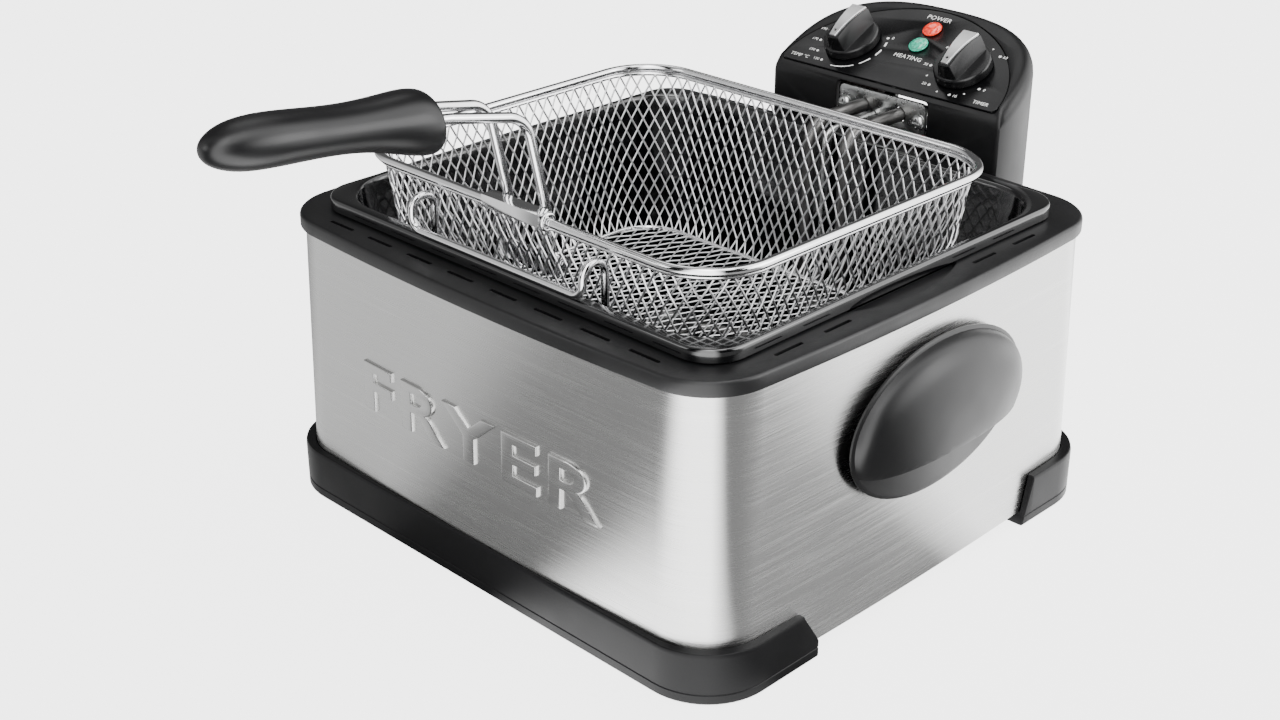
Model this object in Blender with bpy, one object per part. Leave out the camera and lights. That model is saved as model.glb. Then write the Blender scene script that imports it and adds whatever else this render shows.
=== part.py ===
"""A countertop deep fryer: steel housing, lift-out oil tank, control head with an immersed heating element,
and a wire basket hooked on the tank's front rim. Lengths are in millimetres, turned to metres where used."""

from math import cos, pi, radians, sin, tan

import bmesh
import bpy
from mathutils import Matrix, Vector

MM = 0.001
GAP = 0.3  # between pieces that touch on the real object

# The whole body is moved along Y so that the object's box, with the long basket handle, is centred.
BODY_Y = 27.0

# Housing
SHELL_BOTTOM_Z, SHELL_TOP_Z = 7.0, 137.0
SHELL_TOP_X, SHELL_BOTTOM_X = 133.0, 136.4  # half widths: the shell leans out slightly towards its foot
SHELL_TOP_Y, SHELL_BOTTOM_Y = 128.8, 131.4
SHELL_RADIUS, SHELL_BOW, SHELL_WALL = 29.0, 2.2, 0.8
FRAME_X, FRAME_Y, FRAME_RADIUS, FRAME_BOW = 135.0, 130.9, 30.0, 3.4
FRAME_BOTTOM_Z, DECK_Z, DECK_THICK = 133.4, 140.0, 2.6
FRAME_OPENING_X, FRAME_OPENING_FRONT, FRAME_OPENING_REAR = 120.4, -114.6, 112.4
BAND_X, BAND_Y, BAND_RADIUS, BAND_TOP_Z, BAND_BOTTOM_Z = 140.6, 134.8, 31.0, 24.4, 0.8
FOOT_RADIUS = 9.0
SIDE_HANDLE_Y, SIDE_HANDLE_Z = 3.0, 87.5
SIDE_HANDLE_LONG, SIDE_HANDLE_HIGH, SIDE_HANDLE_OUT = 57.5, 35.0, 15.0

# Oil tank
TANK_X, TANK_FRONT, TANK_REAR, TANK_RADIUS = 122.3, -116.6, 114.4, 17.5
TANK_OPENING_X, TANK_OPENING_FRONT, TANK_OPENING_REAR, TANK_OPENING_RADIUS = 119.9, -112.2, 109.6, 31.0
TANK_RIM_Z, TANK_SKIRT_Z, TANK_FLOOR_Z, TANK_WALL = 146.4, 140.5, 20.0, 1.0
TANK_DRAFT = 5.0

# Control head
HEAD_FRONT, HEAD_PANEL_Z, PANEL_SLOPE = 136.2, 168.0, radians(28)
HEAD_HALF, HEAD_DEPTH, HEAD_BOTTOM_Z, HEAD_WALL = 70.5, 55.5, 34.0, 2.6
PANEL_HALF, PANEL_LENGTH = 66.0, 56.0
KNOB_X, KNOB_UP = 34.2, 21.8
KNOB_RADIUS, KNOB_SKIRT, KNOB_TALL = 14.5, 4.4, 14.2
LENS_RED_UP, LENS_GREEN_UP, LENS_RADIUS = 42.0, 29.9, 5.0
PLATE_HALF, PLATE_TOP_Z, PLATE_BOTTOM_Z = 26.5, 162.6, 141.8
RECESS_DEPTH = 0.8
HEATER_TUBE_RADIUS, HEATER_TUBE_X, HEATER_TUBE_Z = 3.4, 11.2, 154.6
SENSOR_X, SENSOR_Z, SENSOR_RADIUS = -4.2, 151.4, 1.4
GUIDE_TOP_Z, GUIDE_BOTTOM_Z, GUIDE_HALF = 130.0, 42.0, 46.0

# Basket, hung on the tank rim
BASKET_X, BASKET_FRONT, BASKET_REAR, BASKET_RADIUS = 109.4, -103.7, 83.2, 29.0
BASKET_RIM_Z, BASKET_FLOOR_Z, BASKET_TAPER = 167.7, 86.0, 9.0
RIM_WIRE, HANGER_WIRE, HANDLE_WIRE = 2.0, 1.75, 2.2
HANGER_HALF, HANGER_BAR_Y, HANGER_BAR_Z, HANGER_TOP_Z = 52.5, -116.2, 148.5, 161.8
HANDLE_HALF, HANDLE_PIVOT_Z, HANDLE_PIVOT_Y = 11.5, 146.5, -94.6
GRIP_TIP_Y, GRIP_END_Y = -246.0, -148.0

CORNER_STEPS = 5
WIRE_SIDES = 2


# ---------------------------------------------------------------- helpers


def clear_scene():
    for obj in list(bpy.data.objects):
        bpy.data.objects.remove(obj)


def material(name, colour, roughness, metallic=0.0):
    made = bpy.data.materials.new(name)
    made.use_nodes = True
    shader = made.node_tree.nodes["Principled BSDF"]
    shader.inputs["Base Color"].default_value = (*colour, 1.0)
    shader.inputs["Roughness"].default_value = roughness
    shader.inputs["Metallic"].default_value = metallic
    return made


def empty(name, place, parent=None):
    """A pivot. place is in world millimetres."""
    made = bpy.data.objects.new(name, None)
    bpy.context.collection.objects.link(made)
    made.location = Vector(place) * MM
    if parent:
        made.parent = parent
        made.matrix_parent_inverse = Matrix.Translation(-Vector(parent.matrix_world.translation))
    bpy.context.view_layer.update()
    return made


def finish_mesh(name, bm, finish, pivot=None, smooth=40):
    """Turns a bmesh in world millimetres into an object that hangs from its pivot."""
    bmesh.ops.remove_doubles(bm, verts=bm.verts, dist=1e-4)
    bmesh.ops.recalc_face_normals(bm, faces=bm.faces)
    bmesh.ops.scale(bm, vec=(MM, MM, MM), verts=bm.verts)
    mesh = bpy.data.meshes.new(name)
    bm.to_mesh(mesh)
    bm.free()
    mesh.shade_smooth()
    mesh.set_sharp_from_angle(angle=radians(smooth))
    obj = bpy.data.objects.new(name, mesh)
    bpy.context.collection.objects.link(obj)
    obj.data.materials.append(finish)
    if pivot:
        place = pivot.matrix_world.translation
        mesh.transform(Matrix.Translation(-place))
        obj.parent = pivot
    return obj


def cutter(name, bm):
    """A helper shape that a Boolean takes away; it isn't part of the object."""
    obj = finish_mesh(name, bm, CUTTER_FINISH)
    obj.hide_render = True
    obj.display_type = "WIRE"
    return obj


def cut(obj, *cutters):
    for tool in cutters:
        modifier = obj.modifiers.new(tool.name, "BOOLEAN")
        modifier.operation = "DIFFERENCE"
        modifier.solver = "EXACT"
        modifier.object = tool


def join(obj, other):
    """Joins a helper shape to an object with a Boolean."""
    other.hide_render = True
    other.display_type = "WIRE"
    modifier = obj.modifiers.new(other.name, "BOOLEAN")
    modifier.operation = "UNION"
    modifier.solver = "EXACT"
    modifier.object = other


def rounded(half_x, front, rear, radius, bow=0.0, steps=CORNER_STEPS):
    """A rounded rectangle in plan, anticlockwise, whose sides bow outwards by bow."""
    corners = ((1, front, -pi / 2), (1, rear, 0.0), (-1, rear, pi / 2), (-1, front, pi))
    middle = (front + rear) / 2
    half_y = (rear - front) / 2
    points = []
    for side, edge, start in corners:
        centre = (side * (half_x - radius), edge + (radius if edge < middle else -radius))
        for i in range(steps + 1):
            angle = start + pi / 2 * i / steps
            points.append([centre[0] + radius * cos(angle), centre[1] + radius * sin(angle)])
        if bow:
            points.extend(side_points(points[-1], side, edge, half_x, front, rear, radius))
    if not bow:
        return [tuple(p) for p in points]
    bowed = []
    for x, y in points:
        flat_x = max(0.0, 1 - (x / (half_x - radius)) ** 2) if abs(x) < half_x - radius else 0.0
        flat_y = (
            max(0.0, 1 - ((y - middle) / (half_y - radius)) ** 2)
            if abs(y - middle) < half_y - radius else 0.0
        )
        out_y = bow * flat_x * (1 if y > middle else -1)
        out_x = bow * flat_y * (1 if x > 0 else -1)
        bowed.append((x + out_x, y + out_y))
    return bowed


def side_points(last, side, edge, half_x, front, rear, radius, count=5):
    """Points along the straight stretch that follows a corner, so that it can bow."""
    right_front = side > 0 and edge < (front + rear) / 2
    right_rear = side > 0 and not right_front
    left_rear = side < 0 and edge > (front + rear) / 2
    if right_front:
        end = [half_x, rear - radius]
    elif right_rear:
        end = [-half_x + radius, rear]
    elif left_rear:
        end = [-half_x, front + radius]
    else:
        end = [half_x - radius, front]
    share = [(i + 1) / (count + 1) for i in range(count)]
    return [[last[0] + (end[0] - last[0]) * t, last[1] + (end[1] - last[1]) * t] for t in share]


def loft(rings, caps=True, ring_closed=False):
    """A closed bmesh through rings of equally many points: capped at both ends, or joined end to end."""
    bm = bmesh.new()
    loops = [[bm.verts.new(p) for p in ring] for ring in rings]
    pairs = list(zip(loops, loops[1:]))
    if ring_closed:
        pairs.append((loops[-1], loops[0]))
    for lower, upper in pairs:
        for i in range(len(lower)):
            j = (i + 1) % len(lower)
            bm.faces.new((lower[i], lower[j], upper[j], upper[i]))
    if caps and not ring_closed:
        bm.faces.new(loops[0])
        bm.faces.new(loops[-1])
    return bm


def level(outline, z):
    return [(x, y + BODY_Y, z) for x, y in outline]


def block(low, high, bevel=0.0, segments=2):
    """A box between two corners, with rounded edges."""
    bm = bmesh.new()
    bmesh.ops.create_cube(bm, size=1.0)
    size = [b - a for a, b in zip(low, high)]
    centre = [(a + b) / 2 for a, b in zip(low, high)]
    bmesh.ops.scale(bm, vec=size, verts=bm.verts)
    bmesh.ops.translate(bm, vec=(centre[0], centre[1] + BODY_Y, centre[2]), verts=bm.verts)
    if bevel:
        bmesh.ops.bevel(bm, geom=bm.edges[:], offset=bevel, segments=segments, profile=0.5, affect="EDGES")
    return bm


def turned(profile, centre, axis, steps=16):
    """A solid of revolution: profile is (radius, height) pairs along axis, from centre, closed on it."""
    spin = Vector((0, 0, 1)).rotation_difference(Vector(axis).normalized()).to_matrix()
    rings = []
    for radius, height in profile:
        ring = [
            (radius * cos(2 * pi * i / steps), radius * sin(2 * pi * i / steps), height)
            for i in range(steps)
        ]
        rings.append([Vector(centre) + Vector((0, BODY_Y, 0)) + spin @ Vector(p) for p in ring])
    return loft(rings)


def filleted(points, radius, steps=3):
    """A polyline with its corners rounded."""
    points = [Vector(p) for p in points]
    made = [points[0]]
    for before, corner, after in zip(points, points[1:], points[2:]):
        back, ahead = (before - corner).normalized(), (after - corner).normalized()
        half = back.angle(ahead) / 2
        if half > radians(88):
            made.append(corner)
            continue
        reach = min(radius / tan(half), (before - corner).length * 0.49, (after - corner).length * 0.49)
        bend = reach * tan(half)
        centre = corner + (back + ahead).normalized() * (bend / sin(half))
        start, end = corner + back * reach - centre, corner + ahead * reach - centre
        for i in range(steps + 1):
            made.append(centre + start.normalized().slerp(end.normalized(), i / steps) * bend)
    made.append(points[-1])
    return made


def wire(name, points, radius, finish, pivot, closed=False, sides=WIRE_SIDES):
    """A round wire or tube along points in body millimetres."""
    curve = bpy.data.curves.new(name, "CURVE")
    curve.dimensions = "3D"
    spline = curve.splines.new("POLY")
    spline.points.add(len(points) - 1)
    place = pivot.matrix_world.translation
    for target, point in zip(spline.points, points):
        world = Vector((point[0], point[1] + BODY_Y, point[2])) * MM - place
        target.co = (*world, 1.0)
    spline.use_cyclic_u = closed
    curve.bevel_depth = radius * MM
    curve.bevel_resolution = sides
    curve.use_fill_caps = True
    obj = bpy.data.objects.new(name, curve)
    bpy.context.collection.objects.link(obj)
    obj.data.materials.append(finish)
    obj.parent = pivot
    return obj


def panel_point(x, up, out=0.0):
    """A point on the sloped control panel: up is measured along the slope, out along its normal."""
    return (
        x,
        HEAD_FRONT + up * cos(PANEL_SLOPE) - out * sin(PANEL_SLOPE),
        HEAD_PANEL_Z + up * sin(PANEL_SLOPE) + out * cos(PANEL_SLOPE),
    )


PANEL_NORMAL = (0.0, -sin(PANEL_SLOPE), cos(PANEL_SLOPE))


# ---------------------------------------------------------------- housing


def shell_ring(z, inset=0.0):
    """The steel shell's outline at a height, moved inwards by inset."""
    share = (z - SHELL_BOTTOM_Z) / (SHELL_TOP_Z - SHELL_BOTTOM_Z)
    half_x = SHELL_BOTTOM_X + (SHELL_TOP_X - SHELL_BOTTOM_X) * share - inset
    half_y = SHELL_BOTTOM_Y + (SHELL_TOP_Y - SHELL_BOTTOM_Y) * share - inset
    return rounded(half_x, -half_y, half_y, SHELL_RADIUS - inset, SHELL_BOW)


def make_steel_shell():
    rings = [
        level(shell_ring(SHELL_BOTTOM_Z), SHELL_BOTTOM_Z),
        level(shell_ring(SHELL_TOP_Z), SHELL_TOP_Z),
        level(shell_ring(SHELL_TOP_Z, SHELL_WALL), SHELL_TOP_Z),
        level(shell_ring(SHELL_BOTTOM_Z, SHELL_WALL), SHELL_BOTTOM_Z),
    ]
    shell = finish_mesh("steel_shell", loft(rings, ring_closed=True), STEEL, ROOT)
    for side, name in ((1, "right"), (-1, "left")):
        low = (min(side * 110, side * 150), SIDE_HANDLE_Y - 34, SIDE_HANDLE_Z - 13)
        high = (max(side * 110, side * 150), SIDE_HANDLE_Y + 34, SIDE_HANDLE_Z + 17)
        cut(shell, cutter(f"hand_hole_{name}", block(low, high, 6)))


def make_bottom_plate():
    inset = SHELL_WALL + GAP
    rings = [level(shell_ring(z, inset + more), z) for z, more in ((8.0, 0.6), (8.6, 0.0), (11.0, 0.0))]
    plate = finish_mesh("bottom_plate", loft(rings), BASE_PLASTIC, ROOT)
    for i in range(6):
        slot = block((-60 + i * 22, -30, 0), (-55 + i * 22, 30, 20), 1.5)
        cut(plate, cutter(f"bottom_vent_{i}", slot))


def band_outline(inset=0.0):
    return rounded(BAND_X - inset, -BAND_Y + inset, BAND_Y - inset, BAND_RADIUS - inset, 1e-4)


def make_base_bands():
    """Two plastic bands that wrap the front and the rear corners, with slanted ends on the sides."""
    for name, front in (("front_base_band", True), ("rear_base_band", False)):
        rings = [
            level(band_outline(1.2), BAND_BOTTOM_Z),
            level(band_outline(), BAND_BOTTOM_Z + 1.2),
            level(band_outline(), BAND_TOP_Z - 1.6),
            level(band_outline(0.25), BAND_TOP_Z - 0.5),
            level(band_outline(0.6), BAND_TOP_Z),
            level(shell_ring(BAND_TOP_Z, -GAP), BAND_TOP_Z),
            level(shell_ring(SHELL_BOTTOM_Z, -GAP), SHELL_BOTTOM_Z - GAP),
            level(band_outline(14.0), SHELL_BOTTOM_Z - GAP),
            level(band_outline(14.0), BAND_BOTTOM_Z),
        ]
        band = finish_mesh(name, loft(rings, ring_closed=True), BASE_PLASTIC, ROOT)
        top, bottom, foot_z = (-78.7, -69.4, 9.0) if front else (82.6, 76.2, 2.0)
        far = 200.0 if front else -200.0
        profile = [
            (top, 40.0), (top, BAND_TOP_Z - 1.0), (bottom, foot_z), (bottom, -5.0), (far, -5.0),
            (far, 40.0),
        ]
        rings = [[(x, y + BODY_Y, z) for y, z in profile] for x in (-200.0, 200.0)]
        cut(band, cutter(name + "_end", loft(rings)))


def make_feet():
    profile = [(FOOT_RADIUS - 1.5, 0.0), (FOOT_RADIUS, 1.2), (FOOT_RADIUS, 4.5), (5.0, 5.0), (5.0, 7.6)]
    for x, side in ((-1, "left"), (1, "right")):
        for y, end in ((-98.0, "front"), (87.0, "rear")):
            foot = turned(profile, (x * 108.0, y, 0.0), (0, 0, 1))
            finish_mesh(f"rubber_foot_{end}_{side}", foot, RUBBER, ROOT)


def make_top_frame():
    """The plastic collar: an outer skirt over the steel's edge, and a slotted deck round the tank."""

    def ring(inset, z):
        outline = rounded(
            FRAME_X - inset, -FRAME_Y + inset, FRAME_Y - inset, FRAME_RADIUS - inset, FRAME_BOW
        )
        return level(outline, z)

    def opening(inset, z):
        outline = rounded(
            FRAME_OPENING_X + inset, FRAME_OPENING_FRONT - inset, FRAME_OPENING_REAR + inset, 17.0, 0.0001
        )
        return level(outline, z)

    under = DECK_Z - DECK_THICK
    rings = [
        ring(0.0, FRAME_BOTTOM_Z),
        ring(0.0, DECK_Z - 1.6),
        ring(0.5, DECK_Z - 0.5),
        ring(1.6, DECK_Z),
        opening(0.0, DECK_Z),
        opening(0.0, DECK_Z - 12.0),
        opening(1.6, DECK_Z - 12.0),
        opening(1.6, under - 0.2),
        ring(1.5, under - 0.2),
        ring(1.2, FRAME_BOTTOM_Z),
    ]
    frame = finish_mesh("top_frame", loft(rings, ring_closed=True), FRAME_PLASTIC, ROOT)
    vents = bmesh.new()
    along_front = [-93.5 + 26.7 * i for i in range(8)]
    places = [((x, -123.2, DECK_Z), (16, 2.0)) for x in along_front]
    places += [((side * 127.8, y, DECK_Z), (2.0, 16)) for side in (1, -1) for y in (-80.5, -51.5, 45.5, 74.5)]
    for (x, y, z), (long_x, long_y) in places:
        matrix = Matrix.Translation((x, y + BODY_Y, z)) @ Matrix.Diagonal((long_x, long_y, 12.0, 1.0))
        bmesh.ops.create_cube(vents, size=1.0, matrix=matrix)
    cut(frame, cutter("deck_vents", vents))
    for side, name in ((1, "right"), (-1, "left")):
        cut(frame, cutter(f"finger_dip_{name}", finger_dip(side)))


def finger_dip(side):
    """A lens-shaped dip beside the tank rim, where a finger gets under the flange."""
    half, deep, middle = 37.0, 8.6, -2.6
    radius = (half**2 + deep**2) / (2 * deep)
    reach = 1 - cos(half / radius)
    outline = []
    for i in range(9):
        angle = (i / 8 * 2 - 1) * half / radius
        outline.append(
            (FRAME_OPENING_X + 1.5 + deep - radius * (1 - cos(angle)), middle + radius * sin(angle))
        )
    outline += [(FRAME_OPENING_X - 4 - reach, middle + half), (FRAME_OPENING_X - 4 - reach, middle - half)]
    rings = [[(side * x, y + BODY_Y, z) for x, y in outline] for z in (DECK_Z - 1.4, DECK_Z + 8)]
    return loft(rings)


def make_rear_guide():
    """The plate on the back of the housing whose two rails hold the control head."""
    back = SHELL_BOTTOM_Y + SHELL_BOW + GAP
    guide = finish_mesh(
        "rear_guide_plate",
        block((-GUIDE_HALF, back, GUIDE_BOTTOM_Z), (GUIDE_HALF, back + 1.4, GUIDE_TOP_Z), 0.5),
        BASE_PLASTIC,
        ROOT,
    )
    for x in (-34.0, 34.0):
        rail = finish_mesh(
            f"rail_{'left' if x < 0 else 'right'}",
            block((x - 4, back + 0.8, GUIDE_BOTTOM_Z + 4), (x + 4, back + 4.6, GUIDE_TOP_Z - 3), 0.5),
            BASE_PLASTIC,
            ROOT,
        )
        join(guide, rail)


def side_ellipse(long, high, x, steps=26):
    return [
        (
            x, SIDE_HANDLE_Y + long * cos(2 * pi * i / steps) + BODY_Y,
            SIDE_HANDLE_Z + high * sin(2 * pi * i / steps),
        )
        for i in range(steps)
    ]


def make_side_handles():
    """An oval hand hold on each side: a domed hood above, open from below to the fingers."""
    base = 138.9
    for side, name in ((1, "right"), (-1, "left")):
        rings = [side_ellipse(SIDE_HANDLE_LONG, SIDE_HANDLE_HIGH, base)]
        rings.append(side_ellipse(SIDE_HANDLE_LONG, SIDE_HANDLE_HIGH, base + 1.6))
        for i in range(5):
            angle = pi / 2 * (0.06 + 0.94 * i / 4.5)
            shrink = cos(angle)
            out = base + 1.6 + (SIDE_HANDLE_OUT - 1.6) * sin(angle)
            rings.append(
                side_ellipse((SIDE_HANDLE_LONG - 1.8) * shrink, (SIDE_HANDLE_HIGH - 1.8) * shrink, out)
            )
        rings = [[(side * x, y, z) for x, y, z in ring] for ring in rings]
        handle = finish_mesh(f"side_handle_{name}", loft(rings), HANDLE_PLASTIC, ROOT)
        cut(handle, cutter(f"hood_cut_{name}", hood_cutter(side, base)))
        cut(handle, cutter(f"hood_room_{name}", hood_room(side, base)))


def hood_cutter(side, base):
    """Takes the lower part of the dome off, down to the flat plate."""
    low = (min(side * (base + 1.7), side * 170), SIDE_HANDLE_Y - 90, SIDE_HANDLE_Z - 50)
    high = (max(side * (base + 1.7), side * 170), SIDE_HANDLE_Y + 90, SIDE_HANDLE_Z - 11.5)
    return block(low, high)


def hood_room(side, base):
    """The finger room under the hood."""
    low = (min(side * (base + 1.7), side * (base + 9.5)), SIDE_HANDLE_Y - 36, SIDE_HANDLE_Z - 40)
    high = (max(side * (base + 1.7), side * (base + 9.5)), SIDE_HANDLE_Y + 36, SIDE_HANDLE_Z + 13)
    return block(low, high, 3.0)


# ---------------------------------------------------------------- oil tank


def make_oil_tank():
    def outer(inset, z):
        return level(
            rounded(TANK_X - inset, TANK_FRONT + inset, TANK_REAR - inset, max(TANK_RADIUS - inset, 2.0)), z
        )

    def inner(inset, z):
        outline = rounded(
            TANK_OPENING_X - inset, TANK_OPENING_FRONT + inset,
            TANK_OPENING_REAR - inset, TANK_OPENING_RADIUS - inset
        )
        return level(outline, z)

    wall_outside = TANK_WALL
    rings = [
        inner(10.0, TANK_FLOOR_Z),
        inner(TANK_DRAFT, TANK_FLOOR_Z + 2.0),
        inner(TANK_DRAFT - wall_outside, TANK_FLOOR_Z + 8.0),
        inner(1.2 - wall_outside + 1.0, TANK_SKIRT_Z - 6.0),
        inner(0.4, TANK_SKIRT_Z + 1.0),
        outer(1.0, TANK_SKIRT_Z + 1.6),
        outer(1.0, TANK_SKIRT_Z),
        outer(0.0, TANK_SKIRT_Z),
        outer(0.0, TANK_RIM_Z - 1.2),
        outer(0.9, TANK_RIM_Z),
        inner(0.6, TANK_RIM_Z),
        inner(2.2, TANK_RIM_Z - 1.6),
        inner(2.4, TANK_SKIRT_Z - 6.0),
        inner(TANK_DRAFT, TANK_FLOOR_Z + 8.0),
        inner(TANK_DRAFT + 2.0, TANK_FLOOR_Z + 3.0),
        inner(11.0, TANK_FLOOR_Z + 1.2),
    ]
    finish_mesh("oil_tank", loft(rings), ENAMEL, TANK_PIVOT)


# ---------------------------------------------------------------- control head


def head_outline(inset=0.0, steps=18):
    """Plan of the control head: a flat front and a full, rounded back."""
    half, depth, power = HEAD_HALF - inset, HEAD_DEPTH - inset, 2.7
    shoulder = HEAD_FRONT + 4.0
    points = [
        (-half + 3.0, HEAD_FRONT + inset), (half - 3.0, HEAD_FRONT + inset),
        (half - 0.8, HEAD_FRONT + inset + 0.8),
    ]
    for i in range(steps + 1):
        angle = pi * i / steps
        x = half * abs(cos(angle)) ** (2 / power) * (1 if cos(angle) >= 0 else -1)
        y = shoulder + (depth - 4.0) * abs(sin(angle)) ** (2 / power)
        points.append((x, y))
    points.append((-half + 0.8, HEAD_FRONT + inset + 0.8))
    return points


def panel_height(y, drop=0.0):
    """The height of the sloped top at a distance back."""
    return HEAD_PANEL_Z + (y - HEAD_FRONT) * tan(PANEL_SLOPE) - drop


def head_ring(inset, drop=None, z=None):
    """The head's outline moved in by inset, either level at z or lying drop below the slope."""
    ring = []
    for x, y in head_outline(inset):
        ring.append((x, y + BODY_Y, panel_height(y, drop) if z is None else z))
    return ring


def panel_outline(inset=0.0, steps=20):
    """The control panel's own outline on the slope: a straight lower edge under an arch. (x, up) pairs."""
    half, length, base = PANEL_HALF - inset, PANEL_LENGTH - inset, 3.0
    points = [(-half + 1.5, inset), (half - 1.5, inset)]
    for i in range(steps + 1):
        angle = pi * i / steps
        x = half * abs(cos(angle)) ** 1.06 * (1 if cos(angle) >= 0 else -1)
        points.append((x, base + (length - base) * abs(sin(angle)) ** 1.06))
    return points


def panel_prism(inset, low, high):
    rings = []
    for out in (low, high):
        rings.append(
            [(x, y + BODY_Y, z) for x, y, z in (panel_point(a, b, out) for a, b in panel_outline(inset))]
        )
    return loft(rings)


def round_hole(name, x, up, radius):
    centre = panel_point(x, up, -30.0)
    return cutter(name, turned([(radius, 0.0), (radius, 60.0)], centre, PANEL_NORMAL))


def make_head_casing():
    """The head's front, sides and sloped top in one moulding, open at the back cover's joint below."""
    rings = [
        head_ring(0.0, z=HEAD_BOTTOM_Z),
        head_ring(0.0, drop=7.0),
        head_ring(0.7, drop=3.6),
        head_ring(2.2, drop=1.3),
        head_ring(4.6, drop=0.1),
        head_ring(6.0, drop=0.0),
    ]
    outside = loft(rings)
    casing = finish_mesh("head_casing", outside, HEAD_PLASTIC, HEAD_PIVOT)
    cavity = loft(
        [
            head_ring(HEAD_WALL, z=HEAD_BOTTOM_Z - 10.0), head_ring(HEAD_WALL, drop=9.0),
            head_ring(9.0, drop=3.4),
        ]
    )
    cut(casing, cutter("head_cavity", cavity))
    cut(casing, cutter("panel_seat", panel_prism(0.0, -1.7, 20.0)))
    rear = block((-44.0, HEAD_FRONT + 30.0, HEAD_BOTTOM_Z - 5), (44.0, HEAD_FRONT + 90.0, 171.8), 0.8)
    cut(casing, cutter("rear_opening", rear))
    recess = block((-28.5, HEAD_FRONT - 5, 138.0), (28.5, HEAD_FRONT + RECESS_DEPTH + 8, 164.4), 3.0)
    cut(casing, cutter("plate_recess", recess))
    for x in (-34.0, 34.0):
        name = "left" if x < 0 else "right"
        groove = block(
            (x - 5.2, HEAD_FRONT - 4, HEAD_BOTTOM_Z - 8), (x + 5.2, HEAD_FRONT + 8, GUIDE_TOP_Z + 2)
        )
        cut(casing, cutter(f"rail_groove_{name}", groove))
    for x, up, radius in hole_places():
        cut(casing, round_hole(f"panel_hole_{x:.0f}_{up:.0f}", x, up, radius + 0.8))


def hole_places():
    """Where the dial shafts and lenses come through the panel."""
    return (
        (-KNOB_X, KNOB_UP, 3.4),
        (KNOB_X, KNOB_UP, 3.4),
        (1.4, LENS_RED_UP, LENS_RADIUS - 0.7),
        (1.4, LENS_GREEN_UP, LENS_RADIUS - 0.7),
    )


def make_panel():
    panel = finish_mesh("control_panel", panel_prism(0.4, -1.4, 0.0), PANEL_GLOSS, HEAD_PIVOT)
    for x, up, radius in hole_places():
        cut(panel, round_hole(f"insert_hole_{x:.0f}_{up:.0f}", x, up, radius))


def make_rear_cover():
    """The lid on the back of the head, with vents, the inlet's opening and the reset hole."""
    bm = block((-43.6, HEAD_FRONT + 46.5, HEAD_BOTTOM_Z), (43.6, HEAD_FRONT + 49.5, 171.4), 1.0)
    cover = finish_mesh("head_rear_cover", bm, HEAD_PLASTIC, HEAD_PIVOT)
    for i in range(6):
        z = 132 + i * 6.0
        cut(
            cover,
            cutter(f"cover_vent_{i}", block((-26, HEAD_FRONT + 40, z), (26, HEAD_FRONT + 60, z + 2.4))),
        )
    cut(
        cover,
        cutter("inlet_opening", block((-17.4, HEAD_FRONT + 40, 60.6), (17.4, HEAD_FRONT + 60, 85.4), 2.0)),
    )
    reset = turned([(3.4, 0.0), (3.4, 30.0)], (0, HEAD_FRONT + 40, 112.0), (0, 1, 0))
    cut(cover, cutter("reset_opening", reset))


def make_knob(name, x, pivot, shade):
    """A round skirt with a tapered grip standing across it, and a metal strip on the grip's crest."""
    centre = Vector(panel_point(x, KNOB_UP, 0.6)) + Vector((0, BODY_Y, 0))
    spin = Vector((0, 0, 1)).rotation_difference(Vector(PANEL_NORMAL)).to_matrix().to_4x4()
    turn = Matrix.Rotation(radians(90), 4, "Z")
    place = Matrix.Translation(centre) @ spin @ turn
    bm = loft(knob_rings())
    bmesh.ops.transform(bm, matrix=place, verts=bm.verts)
    knob = finish_mesh(name, bm, KNOB_PLASTIC, pivot)
    for side in (-1, 1):
        bm = loft(knob_cheek(side))
        bmesh.ops.transform(bm, matrix=place, verts=bm.verts)
        cut(knob, cutter(f"{name}_cheek_{'a' if side < 0 else 'b'}", bm))
    bore = loft([circle(3.3, -1.0, 16), circle(3.3, 9.0, 16)])
    bmesh.ops.transform(bore, matrix=place, verts=bore.verts)
    cut(knob, cutter(f"{name}_bore", bore))
    strip = loft(strip_rings())
    bmesh.ops.transform(strip, matrix=place, verts=strip.verts)
    finish_mesh(f"{name}_insert", strip, shade, pivot)


def circle(radius, z, steps=22):
    return [(radius * cos(2 * pi * i / steps), radius * sin(2 * pi * i / steps), z) for i in range(steps)]


def knob_rings():
    """The turned blank: skirt, then a body that narrows upwards."""
    rings = [circle(KNOB_RADIUS, 0.0), circle(KNOB_RADIUS - 0.3, KNOB_SKIRT - 1.0)]
    rings += [circle(KNOB_RADIUS - 0.9, KNOB_SKIRT), circle(KNOB_RADIUS - 1.1, KNOB_SKIRT + 1)]
    rings += [circle(KNOB_RADIUS - 1.5, KNOB_TALL - 2.0), circle(KNOB_RADIUS - 2.0, KNOB_TALL - 1.0)]
    return rings


def knob_cheek(side):
    """What is taken off beside the grip, whose cheeks draw in towards the pointer end."""
    rings = []
    for z, half_tail, half_tip in ((KNOB_SKIRT - 0.01, 7.2, 4.8), (KNOB_TALL + 3, 4.6, 1.6)):
        quad = [
            (-20.0, side * half_tip), (20.0, side * half_tail), (20.0, side * 24.0), (-20.0, side * 24.0),
        ]
        rings.append([(x, y, z) for x, y in quad])
    return rings


def strip_rings():
    """The metal strip lies on the crest from the pointer end to the tail."""
    low, high = KNOB_TALL - 1.0 + GAP, KNOB_TALL + 0.5
    outline = [(-11.6, -1.8), (-3.0, -2.9), (5.0, -4.0), (11.3, -4.4)]
    outline += [(x, -y) for x, y in reversed(outline)]
    return [[(x, y, low) for x, y in outline], [(x, y, high) for x, y in outline]]


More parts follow.
